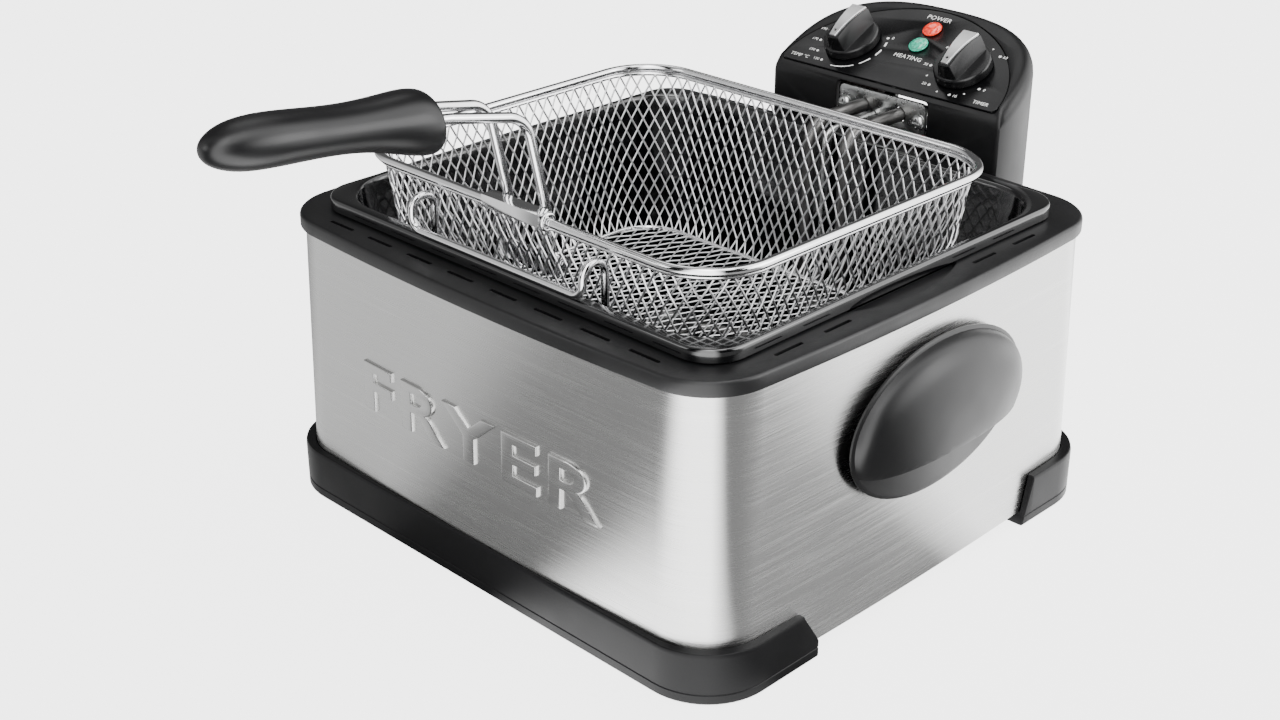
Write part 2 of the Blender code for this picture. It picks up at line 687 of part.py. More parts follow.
def make_shafts_and_controls():
    for name, x, pivot in (("temp_shaft", -KNOB_X, TEMP_PIVOT), ("timer_shaft", KNOB_X, TIMER_PIVOT)):
        shaft = turned([(2.9, -12.0), (2.9, 8.6)], panel_point(x, KNOB_UP), PANEL_NORMAL, 16)
        finish_mesh(name, shaft, STEEL, pivot)
    thermostat = turned(
        [(13.0, -29.0), (13.0, -13.0), (8.0, -12.4)], panel_point(-KNOB_X, KNOB_UP), PANEL_NORMAL, 16
    )
    finish_mesh("thermostat", thermostat, BAKELITE, HEAD_PIVOT)
    timer = turned([(15.5, -26.0), (15.5, -12.4)], panel_point(KNOB_X, KNOB_UP), PANEL_NORMAL, 16)
    finish_mesh("timer", timer, STEEL, HEAD_PIVOT)


def make_lenses():
    profile = [
        (3.6, -4.0), (3.6, 0.3), (LENS_RADIUS, 0.3), (LENS_RADIUS - 0.4, 1.3), (3.2, 2.2), (1.2, 2.6),
    ]
    for name, up, shade in (("red_lens", LENS_RED_UP, RED), ("green_lens", LENS_GREEN_UP, GREEN)):
        finish_mesh(name, turned(profile, panel_point(1.4, up), PANEL_NORMAL, 16), shade, HEAD_PIVOT)
    corner = panel_point(1.4, (LENS_RED_UP + LENS_GREEN_UP) / 2, -9.5)
    bm = bmesh.new()
    bmesh.ops.create_cube(bm, size=1.0)
    bmesh.ops.scale(bm, vec=(13.0, 24.0, 9.0), verts=bm.verts)
    place = Matrix.Translation(Vector(corner) + Vector((0, BODY_Y, 0))) @ Matrix.Rotation(
        PANEL_SLOPE, 4, "X"
    )
    bmesh.ops.transform(bm, matrix=place, verts=bm.verts)
    finish_mesh("lamp_holder", bm, BAKELITE, HEAD_PIVOT)


def make_heater_plate():
    face = HEAD_FRONT + RECESS_DEPTH
    plate = block((-PLATE_HALF, face, PLATE_BOTTOM_Z), (PLATE_HALF, face + 2.0, PLATE_TOP_Z), 0.6)
    plate = finish_mesh("heater_plate", plate, STEEL, HEAD_PIVOT)
    bores = (
        ("element_bore_left", -HEATER_TUBE_X, HEATER_TUBE_Z, HEATER_TUBE_RADIUS),
        ("element_bore_right", HEATER_TUBE_X, HEATER_TUBE_Z, HEATER_TUBE_RADIUS),
        ("sensor_bore", SENSOR_X, SENSOR_Z, SENSOR_RADIUS),
        ("screw_bore_left", -22.8, 153.2, 1.6),
        ("screw_bore_right", 22.8, 153.2, 1.6),
    )
    for name, x, z, radius in bores:
        bore = turned([(radius + GAP, 0.0), (radius + GAP, 12.0)], (x, face - 4, z), (0, 1, 0), 16)
        cut(plate, cutter(name, bore))
    for x, name in ((-22.8, "left"), (22.8, "right")):
        profile = [(1.4, -6.0), (1.4, GAP), (3.6, GAP), (3.4, 1.2), (2.2, 2.1), (0.9, 2.3)]
        screw = turned(profile, (x, face, 153.2), (0, -1, 0), 14)
        finish_mesh(f"heater_screw_{name}", screw, STEEL, HEAD_PIVOT)
    gasket = block((-20.2, face + 2.3, 143.4), (20.2, face + 3.4, 161.2), 0.3)
    gasket = finish_mesh("plate_gasket", gasket, RUBBER, HEAD_PIVOT)
    window = block((-16.5, face - 3, 146.0), (16.5, face + 9, 159.2), 1.0)
    cut(gasket, cutter("gasket_window", window))


def element_route():
    """The heating element: out of the plate, over the tank's rear rim, down, and twice along its floor."""
    x, z, low = HEATER_TUBE_X, HEATER_TUBE_Z, 37.0
    start, drop, near = HEAD_FRONT + RECESS_DEPTH + 8.0, 96.0, -78.0
    points = [
        (-x, start, z), (-x, drop, z), (-x, drop, low), (-x - 12, drop - 8, low), (-62.0, drop - 22, low),
    ]
    points += [
        (-62.0, near, low), (-26.0, near, low), (-26.0, 52.0, low), (26.0, 52.0, low), (26.0, near, low),
    ]
    points += [
        (62.0, near, low), (62.0, drop - 22, low), (x + 12, drop - 8, low), (x, drop, low), (x, drop, z),
    ]
    points += [(x, start, z)]
    return filleted(points, 11.0)


def make_heating_element():
    wire("heating_element", element_route(), HEATER_TUBE_RADIUS, ELEMENT_STEEL, HEAD_PIVOT)
    start = HEAD_FRONT + RECESS_DEPTH + 8.0
    route = [
        (SENSOR_X, start, SENSOR_Z), (SENSOR_X, 99.0, SENSOR_Z), (SENSOR_X, 99.0, 46.0),
        (SENSOR_X, 60.0, 46.0),
    ]
    wire("temperature_sensor", filleted(route, 7.0), SENSOR_RADIUS, STEEL, HEAD_PIVOT)
    clip = block((-20.0, 92.0, 60.0), (20.0, 102.5, 63.0), 0.6)
    clip = finish_mesh("sensor_clip", clip, STEEL, HEAD_PIVOT)
    for x, y, radius, name in (
        (-HEATER_TUBE_X, 96.0, HEATER_TUBE_RADIUS, "clip_bore_left"),
        (HEATER_TUBE_X, 96.0, HEATER_TUBE_RADIUS, "clip_bore_right"),
        (SENSOR_X, 99.0, SENSOR_RADIUS, "clip_bore_sensor"),
    ):
        cut(
            clip,
            cutter(name, turned([(radius + GAP, 0.0), (radius + GAP, 12.0)], (x, y, 56.0), (0, 0, 1), 16)),
        )


def make_head_electrics():
    back = HEAD_FRONT + 46.0
    terminal = block((-22.0, HEAD_FRONT + 12, 118.0), (22.0, HEAD_FRONT + 24, 132.0), 1.0)
    finish_mesh("terminal_block", terminal, BAKELITE, HEAD_PIVOT)
    inlet = block((-17.0, back - 20, 61.0), (17.0, back + 4.5, 85.0), 2.0)
    inlet = finish_mesh("power_inlet", inlet, BAKELITE, HEAD_PIVOT)
    cut(inlet, cutter("inlet_recess", block((-14.0, back - 4, 64.0), (14.0, back + 9, 82.0), 1.5)))
    for x, name in ((-7.0, "left"), (7.0, "right")):
        pin = turned([(2.0, 0.0), (2.0, 5.0), (1.4, 6.0)], (x, back - 4 + GAP, 73.0), (0, 1, 0), 14)
        finish_mesh(f"inlet_pin_{name}", pin, BRASS, HEAD_PIVOT)
    cutout = block((-13.0, HEAD_FRONT + 16, 104.0), (13.0, HEAD_FRONT + 38, 115.5), 1.0)
    finish_mesh("thermal_cutout", cutout, BAKELITE, HEAD_PIVOT)
    button = turned([(2.8, 0.0), (2.8, 9.0), (2.2, 9.8)], (0, HEAD_FRONT + 41.0, 112.0), (0, 1, 0), 16)
    finish_mesh("reset_button", button, RED, RESET_PIVOT)
    switch = block((-12.0, HEAD_FRONT + 12, 48.0), (12.0, HEAD_FRONT + 26, 60.0), 1.0)
    finish_mesh("interlock_switch", switch, BAKELITE, HEAD_PIVOT)


# ---------------------------------------------------------------- basket


def basket_outline(inset=0.0):
    return rounded(
        BASKET_X - inset, BASKET_FRONT + inset, BASKET_REAR - inset, BASKET_RADIUS - inset * 0.5, steps=6
    )


def basket_level(inset, z):
    return level(basket_outline(inset), z)


def make_basket():
    rim = [(x, y, BASKET_RIM_Z) for x, y in basket_outline()]
    wire("basket_rim", rim, RIM_WIRE, CHROME, BASKET_PIVOT, closed=True)
    top, wall = BASKET_RIM_Z - RIM_WIRE - GAP, 1.4
    skin = RIM_WIRE - 0.6
    rings = [
        basket_level(BASKET_TAPER + 8.0, BASKET_FLOOR_Z),
        basket_level(BASKET_TAPER + 2.0, BASKET_FLOOR_Z + 2.0),
        basket_level(BASKET_TAPER, BASKET_FLOOR_Z + 8.0),
        basket_level(skin, top),
        basket_level(skin + wall, top),
        basket_level(BASKET_TAPER + wall, BASKET_FLOOR_Z + 8.5),
        basket_level(BASKET_TAPER + 2.0 + wall, BASKET_FLOOR_Z + 3.4),
        basket_level(BASKET_TAPER + 9.0, BASKET_FLOOR_Z + wall),
    ]
    finish_mesh("basket_mesh", loft(rings), CHROME, BASKET_PIVOT)


def make_hanger():
    """The front hanger: up from beside the mesh, over in two loops, and a bar that rests on the tank rim."""
    inner_y, foot_z = -104.0, 140.0
    half = HANGER_HALF
    left = [(-half, inner_y, foot_z), (-half, inner_y, HANGER_TOP_Z), (-half, HANGER_BAR_Y, HANGER_TOP_Z)]
    left += [(-half, HANGER_BAR_Y, HANGER_BAR_Z)]
    right = [(-x, y, z) for x, y, z in reversed(left)]
    route = filleted(left + right, 6.0, 4)
    wire("basket_hanger", route, HANGER_WIRE, CHROME, BASKET_PIVOT)


def handle_route():
    """The handle's one bent wire: up from the pivot, forward, round inside the grip and back down."""
    y, z = HANDLE_PIVOT_Y, HANDLE_PIVOT_Z
    half = HANDLE_HALF
    left = [(-half - 8.5, y, z), (-half, y, z), (-half, y - 1.8, 166.0), (-half, -106.8, 210.4)]
    left += [(-9.6, -143.0, 217.8), (-7.5, -165.0, 220.2), (-7.5, -200.0, 223.0)]
    right = [(-x, b, c) for x, b, c in reversed(left)]
    return filleted(left + right, 14.0)


def grip_rings(steps=16):
    """The grip's sections from its end face by the wires to its tip: (y, z, half width, half height)."""
    stations = (
        (GRIP_END_Y, 215.4, 13.2, 11.4),
        (GRIP_END_Y - 1.8, 215.8, 14.5, 12.6),
        (-154.5, 216.9, 14.9, 13.0),
        (-163.0, 218.3, 14.3, 11.9),
        (-175.0, 220.4, 12.8, 9.9),
        (-190.0, 222.4, 12.0, 9.0),
        (-206.0, 224.4, 12.4, 9.6),
        (-222.0, 226.0, 12.8, 10.2),
        (-234.0, 226.6, 11.4, 9.2),
        (-241.5, 226.8, 8.0, 6.4),
        (GRIP_TIP_Y, 226.9, 2.8, 2.2),
    )
    rings = []
    for y, z, wide, high in stations:
        ring = [
            (wide * cos(2 * pi * i / steps), y + BODY_Y, z + high * sin(2 * pi * i / steps))
            for i in range(steps)
        ]
        rings.append(ring)
    return rings


def make_handle():
    wire("handle_wire", handle_route(), HANDLE_WIRE, CHROME, HANDLE_PIVOT)
    grip = finish_mesh("handle_grip", loft(grip_rings()), HANDLE_PLASTIC, HANDLE_PIVOT)
    room = HANDLE_WIRE + GAP
    rings = []
    for y, z, half in (
        (-132.0, 215.6, 10.6), (-143.0, 217.8, 9.9), (-165.0, 220.2, 7.8), (-203.2, 223.3, 7.8)
    ):
        corners = ((-half - room, -room), (half + room, -room), (half + room, room), (-half - room, room))
        rings.append([(x, y + BODY_Y, z + high) for x, high in corners])
    cut(grip, cutter("grip_slot", loft(rings)))


def make_bracket():
    """The pressed bracket that hangs over the rim, with two knuckles below that hold the handle's feet."""
    outside, over = BASKET_FRONT - RIM_WIRE - 0.5, BASKET_RIM_Z + RIM_WIRE + 0.4
    thick, half = 0.8, 17.5
    profile = [
        (outside, 165.4), (outside, over), (-100.6, over), (-100.4, 164.0), (-98.9, 152.0), (-97.6, 141.0),
    ]
    bracket = finish_mesh("handle_bracket", sheet_strip(profile, thick, -half, half), STEEL, BASKET_PIVOT)
    for side, name in ((-1, "left"), (1, "right")):
        centre = (side * 15.9, HANDLE_PIVOT_Y, HANDLE_PIVOT_Z)
        knuckle = turned([(3.6, 0.0), (3.6, 3.2)], centre, (side, 0, 0), 16)
        join(bracket, finish_mesh(f"knuckle_{name}", knuckle, STEEL))
        bore = turned([(HANDLE_WIRE + GAP, -3.0), (HANDLE_WIRE + GAP, 9.0)], centre, (side, 0, 0), 16)
        cut(bracket, cutter(f"knuckle_bore_{name}", bore))
    window = block((-8.0, -106.0 + 3.6, 151.0), (8.0, -92.0, 163.0), 1.0)
    cut(bracket, cutter("bracket_window", window))


def sheet_strip(profile, thick, x0, x1):
    """A bent sheet: profile is its inner line in the YZ plane, thickened to its left, between x0 and x1."""
    points = [Vector((y, z)) for y, z in profile]
    outer = []
    for i, point in enumerate(points):
        ahead = (points[min(i + 1, len(points) - 1)] - point) or (point - points[i - 1])
        behind = (point - points[max(i - 1, 0)]) or ahead
        ahead, behind = ahead.normalized(), behind.normalized()
        normal = Vector((-(ahead.y + behind.y), ahead.x + behind.x)).normalized()
        outer.append(point + normal * thick / max(0.4, normal.dot(Vector((-ahead.y, ahead.x)))))
    loop = points + outer[::-1]
    rings = [[(x, p.x + BODY_Y, p.y) for p in loop] for x in (x0, x1)]
    return loft(rings)


# ---------------------------------------------------------------- build

clear_scene()
CUTTER_FINISH = material("cutter", (0.5, 0.1, 0.1), 0.5)
STEEL = material("brushed_steel", (0.62, 0.62, 0.61), 0.28, 1.0)
CHROME = material("chrome_wire", (0.75, 0.75, 0.76), 0.12, 1.0)
ELEMENT_STEEL = material("element_steel", (0.20, 0.20, 0.21), 0.35, 1.0)
BRASS = material("brass", (0.60, 0.45, 0.20), 0.3, 1.0)
ENAMEL = material("black_enamel", (0.012, 0.012, 0.013), 0.12)
FRAME_PLASTIC = material("frame_plastic", (0.02, 0.02, 0.021), 0.5)
BASE_PLASTIC = material("base_plastic", (0.02, 0.02, 0.021), 0.55)
HEAD_PLASTIC = material("head_plastic", (0.015, 0.015, 0.016), 0.4)
PANEL_GLOSS = material("panel_gloss", (0.006, 0.006, 0.007), 0.15)
KNOB_PLASTIC = material("knob_plastic", (0.02, 0.02, 0.021), 0.35)
HANDLE_PLASTIC = material("handle_plastic", (0.015, 0.015, 0.016), 0.35)
BAKELITE = material("bakelite", (0.05, 0.035, 0.03), 0.5)
RUBBER = material("rubber", (0.03, 0.03, 0.03), 0.8)
RED = material("red_plastic", (0.75, 0.03, 0.02), 0.2)
GREEN = material("green_plastic", (0.01, 0.25, 0.18), 0.2)
KNOB_METAL = material("knob_metal", (0.7, 0.7, 0.7), 0.3, 1.0)

ROOT = empty("housing", (0, BODY_Y, 0))
TANK_PIVOT = empty("tank_pivot", (0, BODY_Y, TANK_RIM_Z), ROOT)
HEAD_PIVOT = empty("head_pivot", (0, HEAD_FRONT + BODY_Y, HEAD_BOTTOM_Z), TANK_PIVOT)
BASKET_PIVOT = empty("basket_pivot", (0, BODY_Y, BASKET_RIM_Z), HEAD_PIVOT)
HANDLE_PIVOT = empty("handle_pivot", (0, HANDLE_PIVOT_Y + BODY_Y, HANDLE_PIVOT_Z), BASKET_PIVOT)
knob_places = [Vector(panel_point(x, KNOB_UP)) + Vector((0, BODY_Y, 0)) for x in (-KNOB_X, KNOB_X)]
TEMP_PIVOT = empty("temp_knob_pivot", knob_places[0], HEAD_PIVOT)
TIMER_PIVOT = empty("timer_knob_pivot", knob_places[1], HEAD_PIVOT)
RESET_PIVOT = empty("reset_pivot", (0, HEAD_FRONT + 41.0 + BODY_Y, 112.0), HEAD_PIVOT)

make_steel_shell()
make_bottom_plate()
make_base_bands()
make_feet()
make_top_frame()
make_rear_guide()
make_side_handles()
make_oil_tank()
make_head_casing()
make_panel()
make_rear_cover()
make_knob("temp_knob", -KNOB_X, TEMP_PIVOT, KNOB_METAL)
make_knob("timer_knob", KNOB_X, TIMER_PIVOT, KNOB_METAL)
make_shafts_and_controls()
make_lenses()
make_heater_plate()
make_heating_element()
make_head_electrics()
make_basket()
make_hanger()
make_handle()
make_bracket()
bpy.context.view_layer.update()
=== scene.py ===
from math import cos, pi, radians, sin, tan

import bmesh
import bpy
from mathutils import Matrix, Vector


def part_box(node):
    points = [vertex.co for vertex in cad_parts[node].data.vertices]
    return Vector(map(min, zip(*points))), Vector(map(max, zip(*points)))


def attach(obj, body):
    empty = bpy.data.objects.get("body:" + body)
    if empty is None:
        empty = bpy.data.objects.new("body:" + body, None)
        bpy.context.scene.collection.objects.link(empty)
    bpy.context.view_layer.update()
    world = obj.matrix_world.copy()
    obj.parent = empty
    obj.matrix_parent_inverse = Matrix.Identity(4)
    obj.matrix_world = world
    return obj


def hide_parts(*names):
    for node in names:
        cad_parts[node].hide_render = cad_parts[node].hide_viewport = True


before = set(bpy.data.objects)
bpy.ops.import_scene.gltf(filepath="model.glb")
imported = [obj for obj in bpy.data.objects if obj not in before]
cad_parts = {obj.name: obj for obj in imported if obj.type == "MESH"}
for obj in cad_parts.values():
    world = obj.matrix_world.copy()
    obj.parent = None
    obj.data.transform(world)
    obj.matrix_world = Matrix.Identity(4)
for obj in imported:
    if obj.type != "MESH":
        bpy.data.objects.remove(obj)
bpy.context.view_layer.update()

# Lengths are in millimetres, measured from the middle of the housing; metres are made where they are used.
MM = 0.001
shell_low, shell_high = (Vector(corner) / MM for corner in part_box("steel_shell"))
tank_low, tank_high = (Vector(corner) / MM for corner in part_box("oil_tank"))
HEAD_FOOT_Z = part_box("head_casing")[0][2] / MM
BODY_Y = (shell_low.y + shell_high.y) / 2

CAMERA_PLACE, CAMERA_TARGET, LENS = (530.0, -564.2, 438.5), (21.8, -53.7, 90.0), 51.7
ROOM_STRENGTH = 4.0

SHELL_TOP_X, SHELL_FOOT_X, SHELL_TOP_Y, SHELL_FOOT_Y = 133.0, 136.4, 128.8, 131.4
SHELL_RADIUS, SHELL_BOW, SHELL_WALL = 29.0, 2.2, 0.8
FRAME_X, FRAME_Y, FRAME_RADIUS, FRAME_BOW, DECK_Z, SKIRT_Z = 135.0, 130.9, 30.0, 3.4, 140.0, 133.4
BAND_X, BAND_Y, BAND_RADIUS, BAND_TOP_Z = 140.6, 134.8, 31.0, 24.4
WORD_WIDE, WORD_TALL, WORD_Z, WORD_RISE = 150.0, 23.0, 72.0, 26.0
SIDE_HANDLE_X, SIDE_HANDLE_Y, SIDE_HANDLE_Z = 138.9, 3.0, 87.5
SIDE_HANDLE_LONG, SIDE_HANDLE_HIGH, SIDE_HANDLE_OUT = 57.5, 35.0, 15.0
TANK_X, TANK_FRONT, TANK_REAR, TANK_RIM_Z = tank_high.x, -116.6, 114.4, tank_high.z
POT_X, POT_FRONT, POT_REAR, POT_RADIUS = 119.9, -112.2, 109.6, 31.0
HEAD_FRONT, PANEL_Z, PANEL_SLOPE = 136.2, 168.0, radians(28)
KNOB_X, KNOB_UP, KNOB_SKIRT, KNOB_TALL = 34.2, 21.8, 4.4, 14.2
LENS_X, RED_UP, GREEN_UP = 1.4, 42.0, 29.9
ELEMENT_X, ELEMENT_Z, SENSOR_X, SENSOR_Z, SCREW_X, SCREW_Z = 11.2, 154.6, -4.2, 151.4, 22.8, 153.2
BASKET_X, BASKET_FRONT, BASKET_REAR, BASKET_RADIUS = 109.4, -103.7, 83.2, 29.0
RIM_Z, BASKET_DEEP, BASKET_TAPER = 167.7, 77.0, 9.0
HANDLE_HALF, PIVOT_Y, PIVOT_Z = 11.5, -94.6, 146.5


# ---- camera, light and floor


def srgb(code):
    """A hex colour as the linear values that the shader takes."""
    channels = [int(code[i : i + 2], 16) / 255 for i in (0, 2, 4)]
    return tuple(c / 12.92 if c <= 0.04045 else ((c + 0.055) / 1.055) ** 2.4 for c in channels) + (1.0,)


def at(x, y, z):
    """A place in metres, from millimetres measured from the middle of the housing."""
    return Vector((x, y + BODY_Y, z)) * MM


def aim(obj, target):
    """Turns a camera or a light to look at a place."""
    obj.rotation_euler = (target - obj.location).to_track_quat("-Z", "Y").to_euler()


def set_camera():
    data = bpy.data.cameras.new("camera")
    data.lens, data.sensor_width = LENS, 36.0
    data.clip_start, data.clip_end = 0.01, 50.0
    camera = bpy.data.objects.new("camera", data)
    bpy.context.collection.objects.link(camera)
    camera.location = at(*CAMERA_PLACE)
    aim(camera, at(*CAMERA_TARGET))
    bpy.context.scene.camera = camera


def soft_light(name, place, size, power):
    """A white box light in metres and watts, turned to the object's middle."""
    data = bpy.data.lights.new(name, "AREA")
    data.shape = "RECTANGLE"
    data.size, data.size_y = size
    data.energy = power
    light = bpy.data.objects.new(name, data)
    bpy.context.collection.objects.link(light)
    light.location = place
    aim(light, Vector((0, 0, 0.1)))


def add(tree, kind, links=None, values=None, **settings):
    """Adds a node with its settings, its socket values and the links into it."""
    made = tree.nodes.new(kind)
    for name, setting in settings.items():
        setattr(made, name, setting)
    for socket, value in (values or {}).items():
        made.inputs[socket].default_value = value
    for socket, source in (links or {}).items():
        tree.links.new(source, made.inputs[socket])
    return made


def surroundings(tree, vector):
    """What shiny surfaces mirror, by compass direction: white boards with black flags between them."""
    parts = add(tree, "ShaderNodeSeparateXYZ", {"Vector": vector})
    turn = add(tree, "ShaderNodeMath", {0: parts.outputs["Y"], 1: parts.outputs["X"]}, operation="ARCTAN2")
    share = add(
        tree, "ShaderNodeMapRange", {"Value": turn.outputs["Value"]}, {"From Min": -pi, "From Max": pi}
    )
    ramp = add(tree, "ShaderNodeValToRGB", {"Fac": share.outputs["Result"]})
    # Compass angle in degrees from +X, and how bright it is there.
    boards = ((-180, 0.03), (-165, 0.12), (-150, 0.22), (-128, 0.20), (-116, 0.0), (-86, 0.0), (-70, 1.4))
    boards += ((-38, 1.4), (-24, 0.0), (20, 0.0), (32, 0.9), (72, 1.1), (100, 0.03), (180, 0.03))
    elements = ramp.color_ramp.elements
    while len(elements) < len(boards):
        elements.new(0.5)
    for element, (angle, bright) in zip(elements, boards):
        element.position = (angle + 180) / 360
        element.color = (bright, bright, bright, 1.0)
    return ramp.outputs["Color"]


def white_when_seen(tree, vector, white):
    """The surroundings for what mirrors them, and an even white for the camera."""
    seen = add(tree, "ShaderNodeLightPath").outputs["Is Camera Ray"]
    links = {"Factor": seen, "A": surroundings(tree, vector)}
    mix = add(tree, "ShaderNodeMix", links, {"B": (white, white, white, 1.0)}, data_type="RGBA")
    return mix.outputs["Result"]


def set_light():
    """Four softboxes, and the room as the sky."""
    soft_light("right_softbox", (1.7, 0.9, 1.0), (1.3, 1.2), 26)
    soft_light("top_softbox", (0.6, -0.3, 2.0), (1.2, 1.2), 18)
    soft_light("rear_top_softbox", (-1.05, 0.75, 1.95), (0.8, 0.8), 5)
    soft_light("front_softbox", (-0.9, -1.8, 1.0), (0.9, 0.9), 9)
    world = bpy.data.worlds.new("studio")
    world.use_nodes = True
    tree = world.node_tree
    direction = add(tree, "ShaderNodeTexCoord").outputs["Generated"]
    background = tree.nodes["Background"]
    tree.links.new(white_when_seen(tree, direction, 1.0), background.inputs["Color"])
    background.inputs["Strength"].default_value = ROOM_STRENGTH
    bpy.context.scene.world = world


def set_floor():
    """A white paper sweep, lit from under as well, so that shadows on it stay faint."""
    bpy.ops.mesh.primitive_plane_add(size=14.0, location=(0, 0, 0))
    stage = bpy.context.object
    stage.name = "studio_floor"
    paper = bpy.data.materials.new("white_paper")
    paper.use_nodes = True
    tree = paper.node_tree
    shader = tree.nodes["Principled BSDF"]
    shader.inputs["Base Color"].default_value = srgb("7c7c7c")
    shader.inputs["Roughness"].default_value = 0.8
    shader.inputs["Specular IOR Level"].default_value = 0.0
    shader.inputs["Emission Strength"].default_value = ROOM_STRENGTH
    place = add(tree, "ShaderNodeTexCoord").outputs["Object"]
    tree.links.new(white_when_seen(tree, place, 0.95), shader.inputs["Emission Color"])
    stage.data.materials.append(paper)


set_camera()
set_light()
set_floor()


# ---- materials


def surface(name, colour, roughness, metallic=0.0, **values):
    """A material's shader with the numbers that are the same all over it."""
    made = bpy.data.materials.new(name)
    made.use_nodes = True
    shader = made.node_tree.nodes["Principled BSDF"]
    shader.inputs["Base Color"].default_value = srgb(colour)
    shader.inputs["Roughness"].default_value = roughness
    shader.inputs["Metallic"].default_value = metallic
    for socket, value in values.items():
        shader.inputs[socket.replace("_", " ")].default_value = value
    coordinates = add(made.node_tree, "ShaderNodeTexCoord").outputs["Object"]
    return made, made.node_tree, shader, coordinates


def vary_shine(tree, shader, pattern, stray, low, high):
    """Lets a pattern, which strays that far either side of a half, move the roughness between two values."""
    values = {"From Min": 0.5 - stray, "From Max": 0.5 + stray, "To Min": low, "To Max": high}
    rough = add(tree, "ShaderNodeMapRange", {"Value": pattern.outputs["Fac"]}, values)
    tree.links.new(rough.outputs["Result"], shader.inputs["Roughness"])


def raise_grain(tree, shader, pattern, strength, depth_mm):
    """Lets a pattern stand up from the surface a little."""
    values = {"Strength": strength, "Distance": depth_mm * MM}
    bump = add(tree, "ShaderNodeBump", {"Height": pattern.outputs["Fac"]}, values)
    tree.links.new(bump.outputs["Normal"], shader.inputs["Normal"])


def brushed_steel():
    """Stainless sheet brushed along its length: fine level lines, which spread the reflections upright."""
    values = {"Anisotropic": 0.85, "Anisotropic_Rotation": 0.25}
    made, tree, shader, place = surface("brushed_steel", "c9c9c8", 0.25, 1.0, **values)
    # Brush lines are about 0.1 mm apart and 40 mm long; they are drawn 0.5 mm apart to show at all.
    made_of = {"Scale": 1.0, "Detail": 3.0}
    stretch = add(tree, "ShaderNodeMapping", {"Vector": place}, {"Scale": (25.0, 25.0, 2000.0)})
    lines = add(tree, "ShaderNodeTexNoise", {"Vector": stretch.outputs["Vector"]}, made_of)
    # Broader bands, about 5 mm high, where the brush pressed harder.
    made_of = {"Scale": 1.0, "Detail": 2.0}
    broad = add(tree, "ShaderNodeMapping", {"Vector": place}, {"Scale": (6.0, 6.0, 220.0)})
    bands = add(tree, "ShaderNodeTexNoise", {"Vector": broad.outputs["Vector"]}, made_of)
    links = {"Factor": bands.outputs["Fac"], "A": lines.outputs["Fac"]}
    tint = add(tree, "ShaderNodeMix", links, data_type="FLOAT")
    ramp = add(tree, "ShaderNodeValToRGB", {"Fac": tint.outputs["Result"]})
    for element, position, colour in zip(ramp.color_ramp.elements, (0.3, 0.7), ("bdbdbc", "d3d3d2")):
        element.position, element.color = position, srgb(colour)
    tangent = add(tree, "ShaderNodeTangent", direction_type="RADIAL", axis="Z")
    tree.links.new(ramp.outputs["Color"], shader.inputs["Base Color"])
    tree.links.new(tangent.outputs["Tangent"], shader.inputs["Tangent"])
    vary_shine(tree, shader, lines, 0.2, 0.2, 0.3)
    raise_grain(tree, shader, lines, 0.12, 0.1)
    return made


def plated_metal(name, colour, roughness, spread):
    """Polished or plated metal: faint patches where the plating is less bright."""
    made, tree, shader, place = surface(name, colour, roughness, 1.0)
    # Patches about 4 mm across.
    patches = add(tree, "ShaderNodeTexNoise", {"Vector": place}, {"Scale": 250.0, "Detail": 3.0})
    vary_shine(tree, shader, patches, 0.2, roughness, roughness + spread)
    return made


def moulded_plastic(name, colour, roughness, grain_mm, depth_mm, **values):
    """Black moulded plastic: a sparked tool leaves a fine grain that scatters the light at its edges."""
    made, tree, shader, place = surface(name, colour, roughness, 0.0, **values)
    grain = add(tree, "ShaderNodeTexNoise", {"Vector": place}, {"Scale": 1000.0 / grain_mm, "Detail": 2.0})
    # Handling wears soft patches, about 30 mm across, a little smoother.
    wear = add(tree, "ShaderNodeTexNoise", {"Vector": place}, {"Scale": 33.0, "Detail": 2.0})
    vary_shine(tree, shader, wear, 0.15, roughness - 0.05, roughness + 0.05)
    raise_grain(tree, shader, grain, 0.5, depth_mm)
    return made


def black_enamel():
    """Vitreous enamel on steel: a deep black gloss with a slight orange peel."""
    coat = {"Coat_Weight": 0.6, "Coat_Roughness": 0.05}
    made, tree, shader, place = surface("black_enamel", "060607", 0.14, 0.0, **coat)
    # The peel's waves are about 5 mm across.
    peel = add(tree, "ShaderNodeTexNoise", {"Vector": place}, {"Scale": 200.0, "Detail": 1.0})
    raise_grain(tree, shader, peel, 0.08, 0.08)
    return made


def lamp_plastic(name, colour, glow):
    """A tinted clear lens with a lamp behind it, faintly lit. The same faint glow on the reset button, which
    has no lamp, is a painted glow.
    """
    made, tree, shader, place = surface(name, colour, 0.12, 0.0, Coat_Weight=0.7, Coat_Roughness=0.04)
    # Small facets inside the lens, 1.2 mm across, break the colour up.
    facets = add(tree, "ShaderNodeTexVoronoi", {"Vector": place}, {"Scale": 830.0})
    ramp = add(tree, "ShaderNodeValToRGB", {"Fac": facets.outputs["Distance"]})
    ramp.color_ramp.elements[0].color = srgb(glow)
    ramp.color_ramp.elements[1].color = srgb(colour)
    tree.links.new(ramp.outputs["Color"], shader.inputs["Base Color"])
    tree.links.new(ramp.outputs["Color"], shader.inputs["Emission Color"])
    shader.inputs["Emission Strength"].default_value = 0.25
    return made


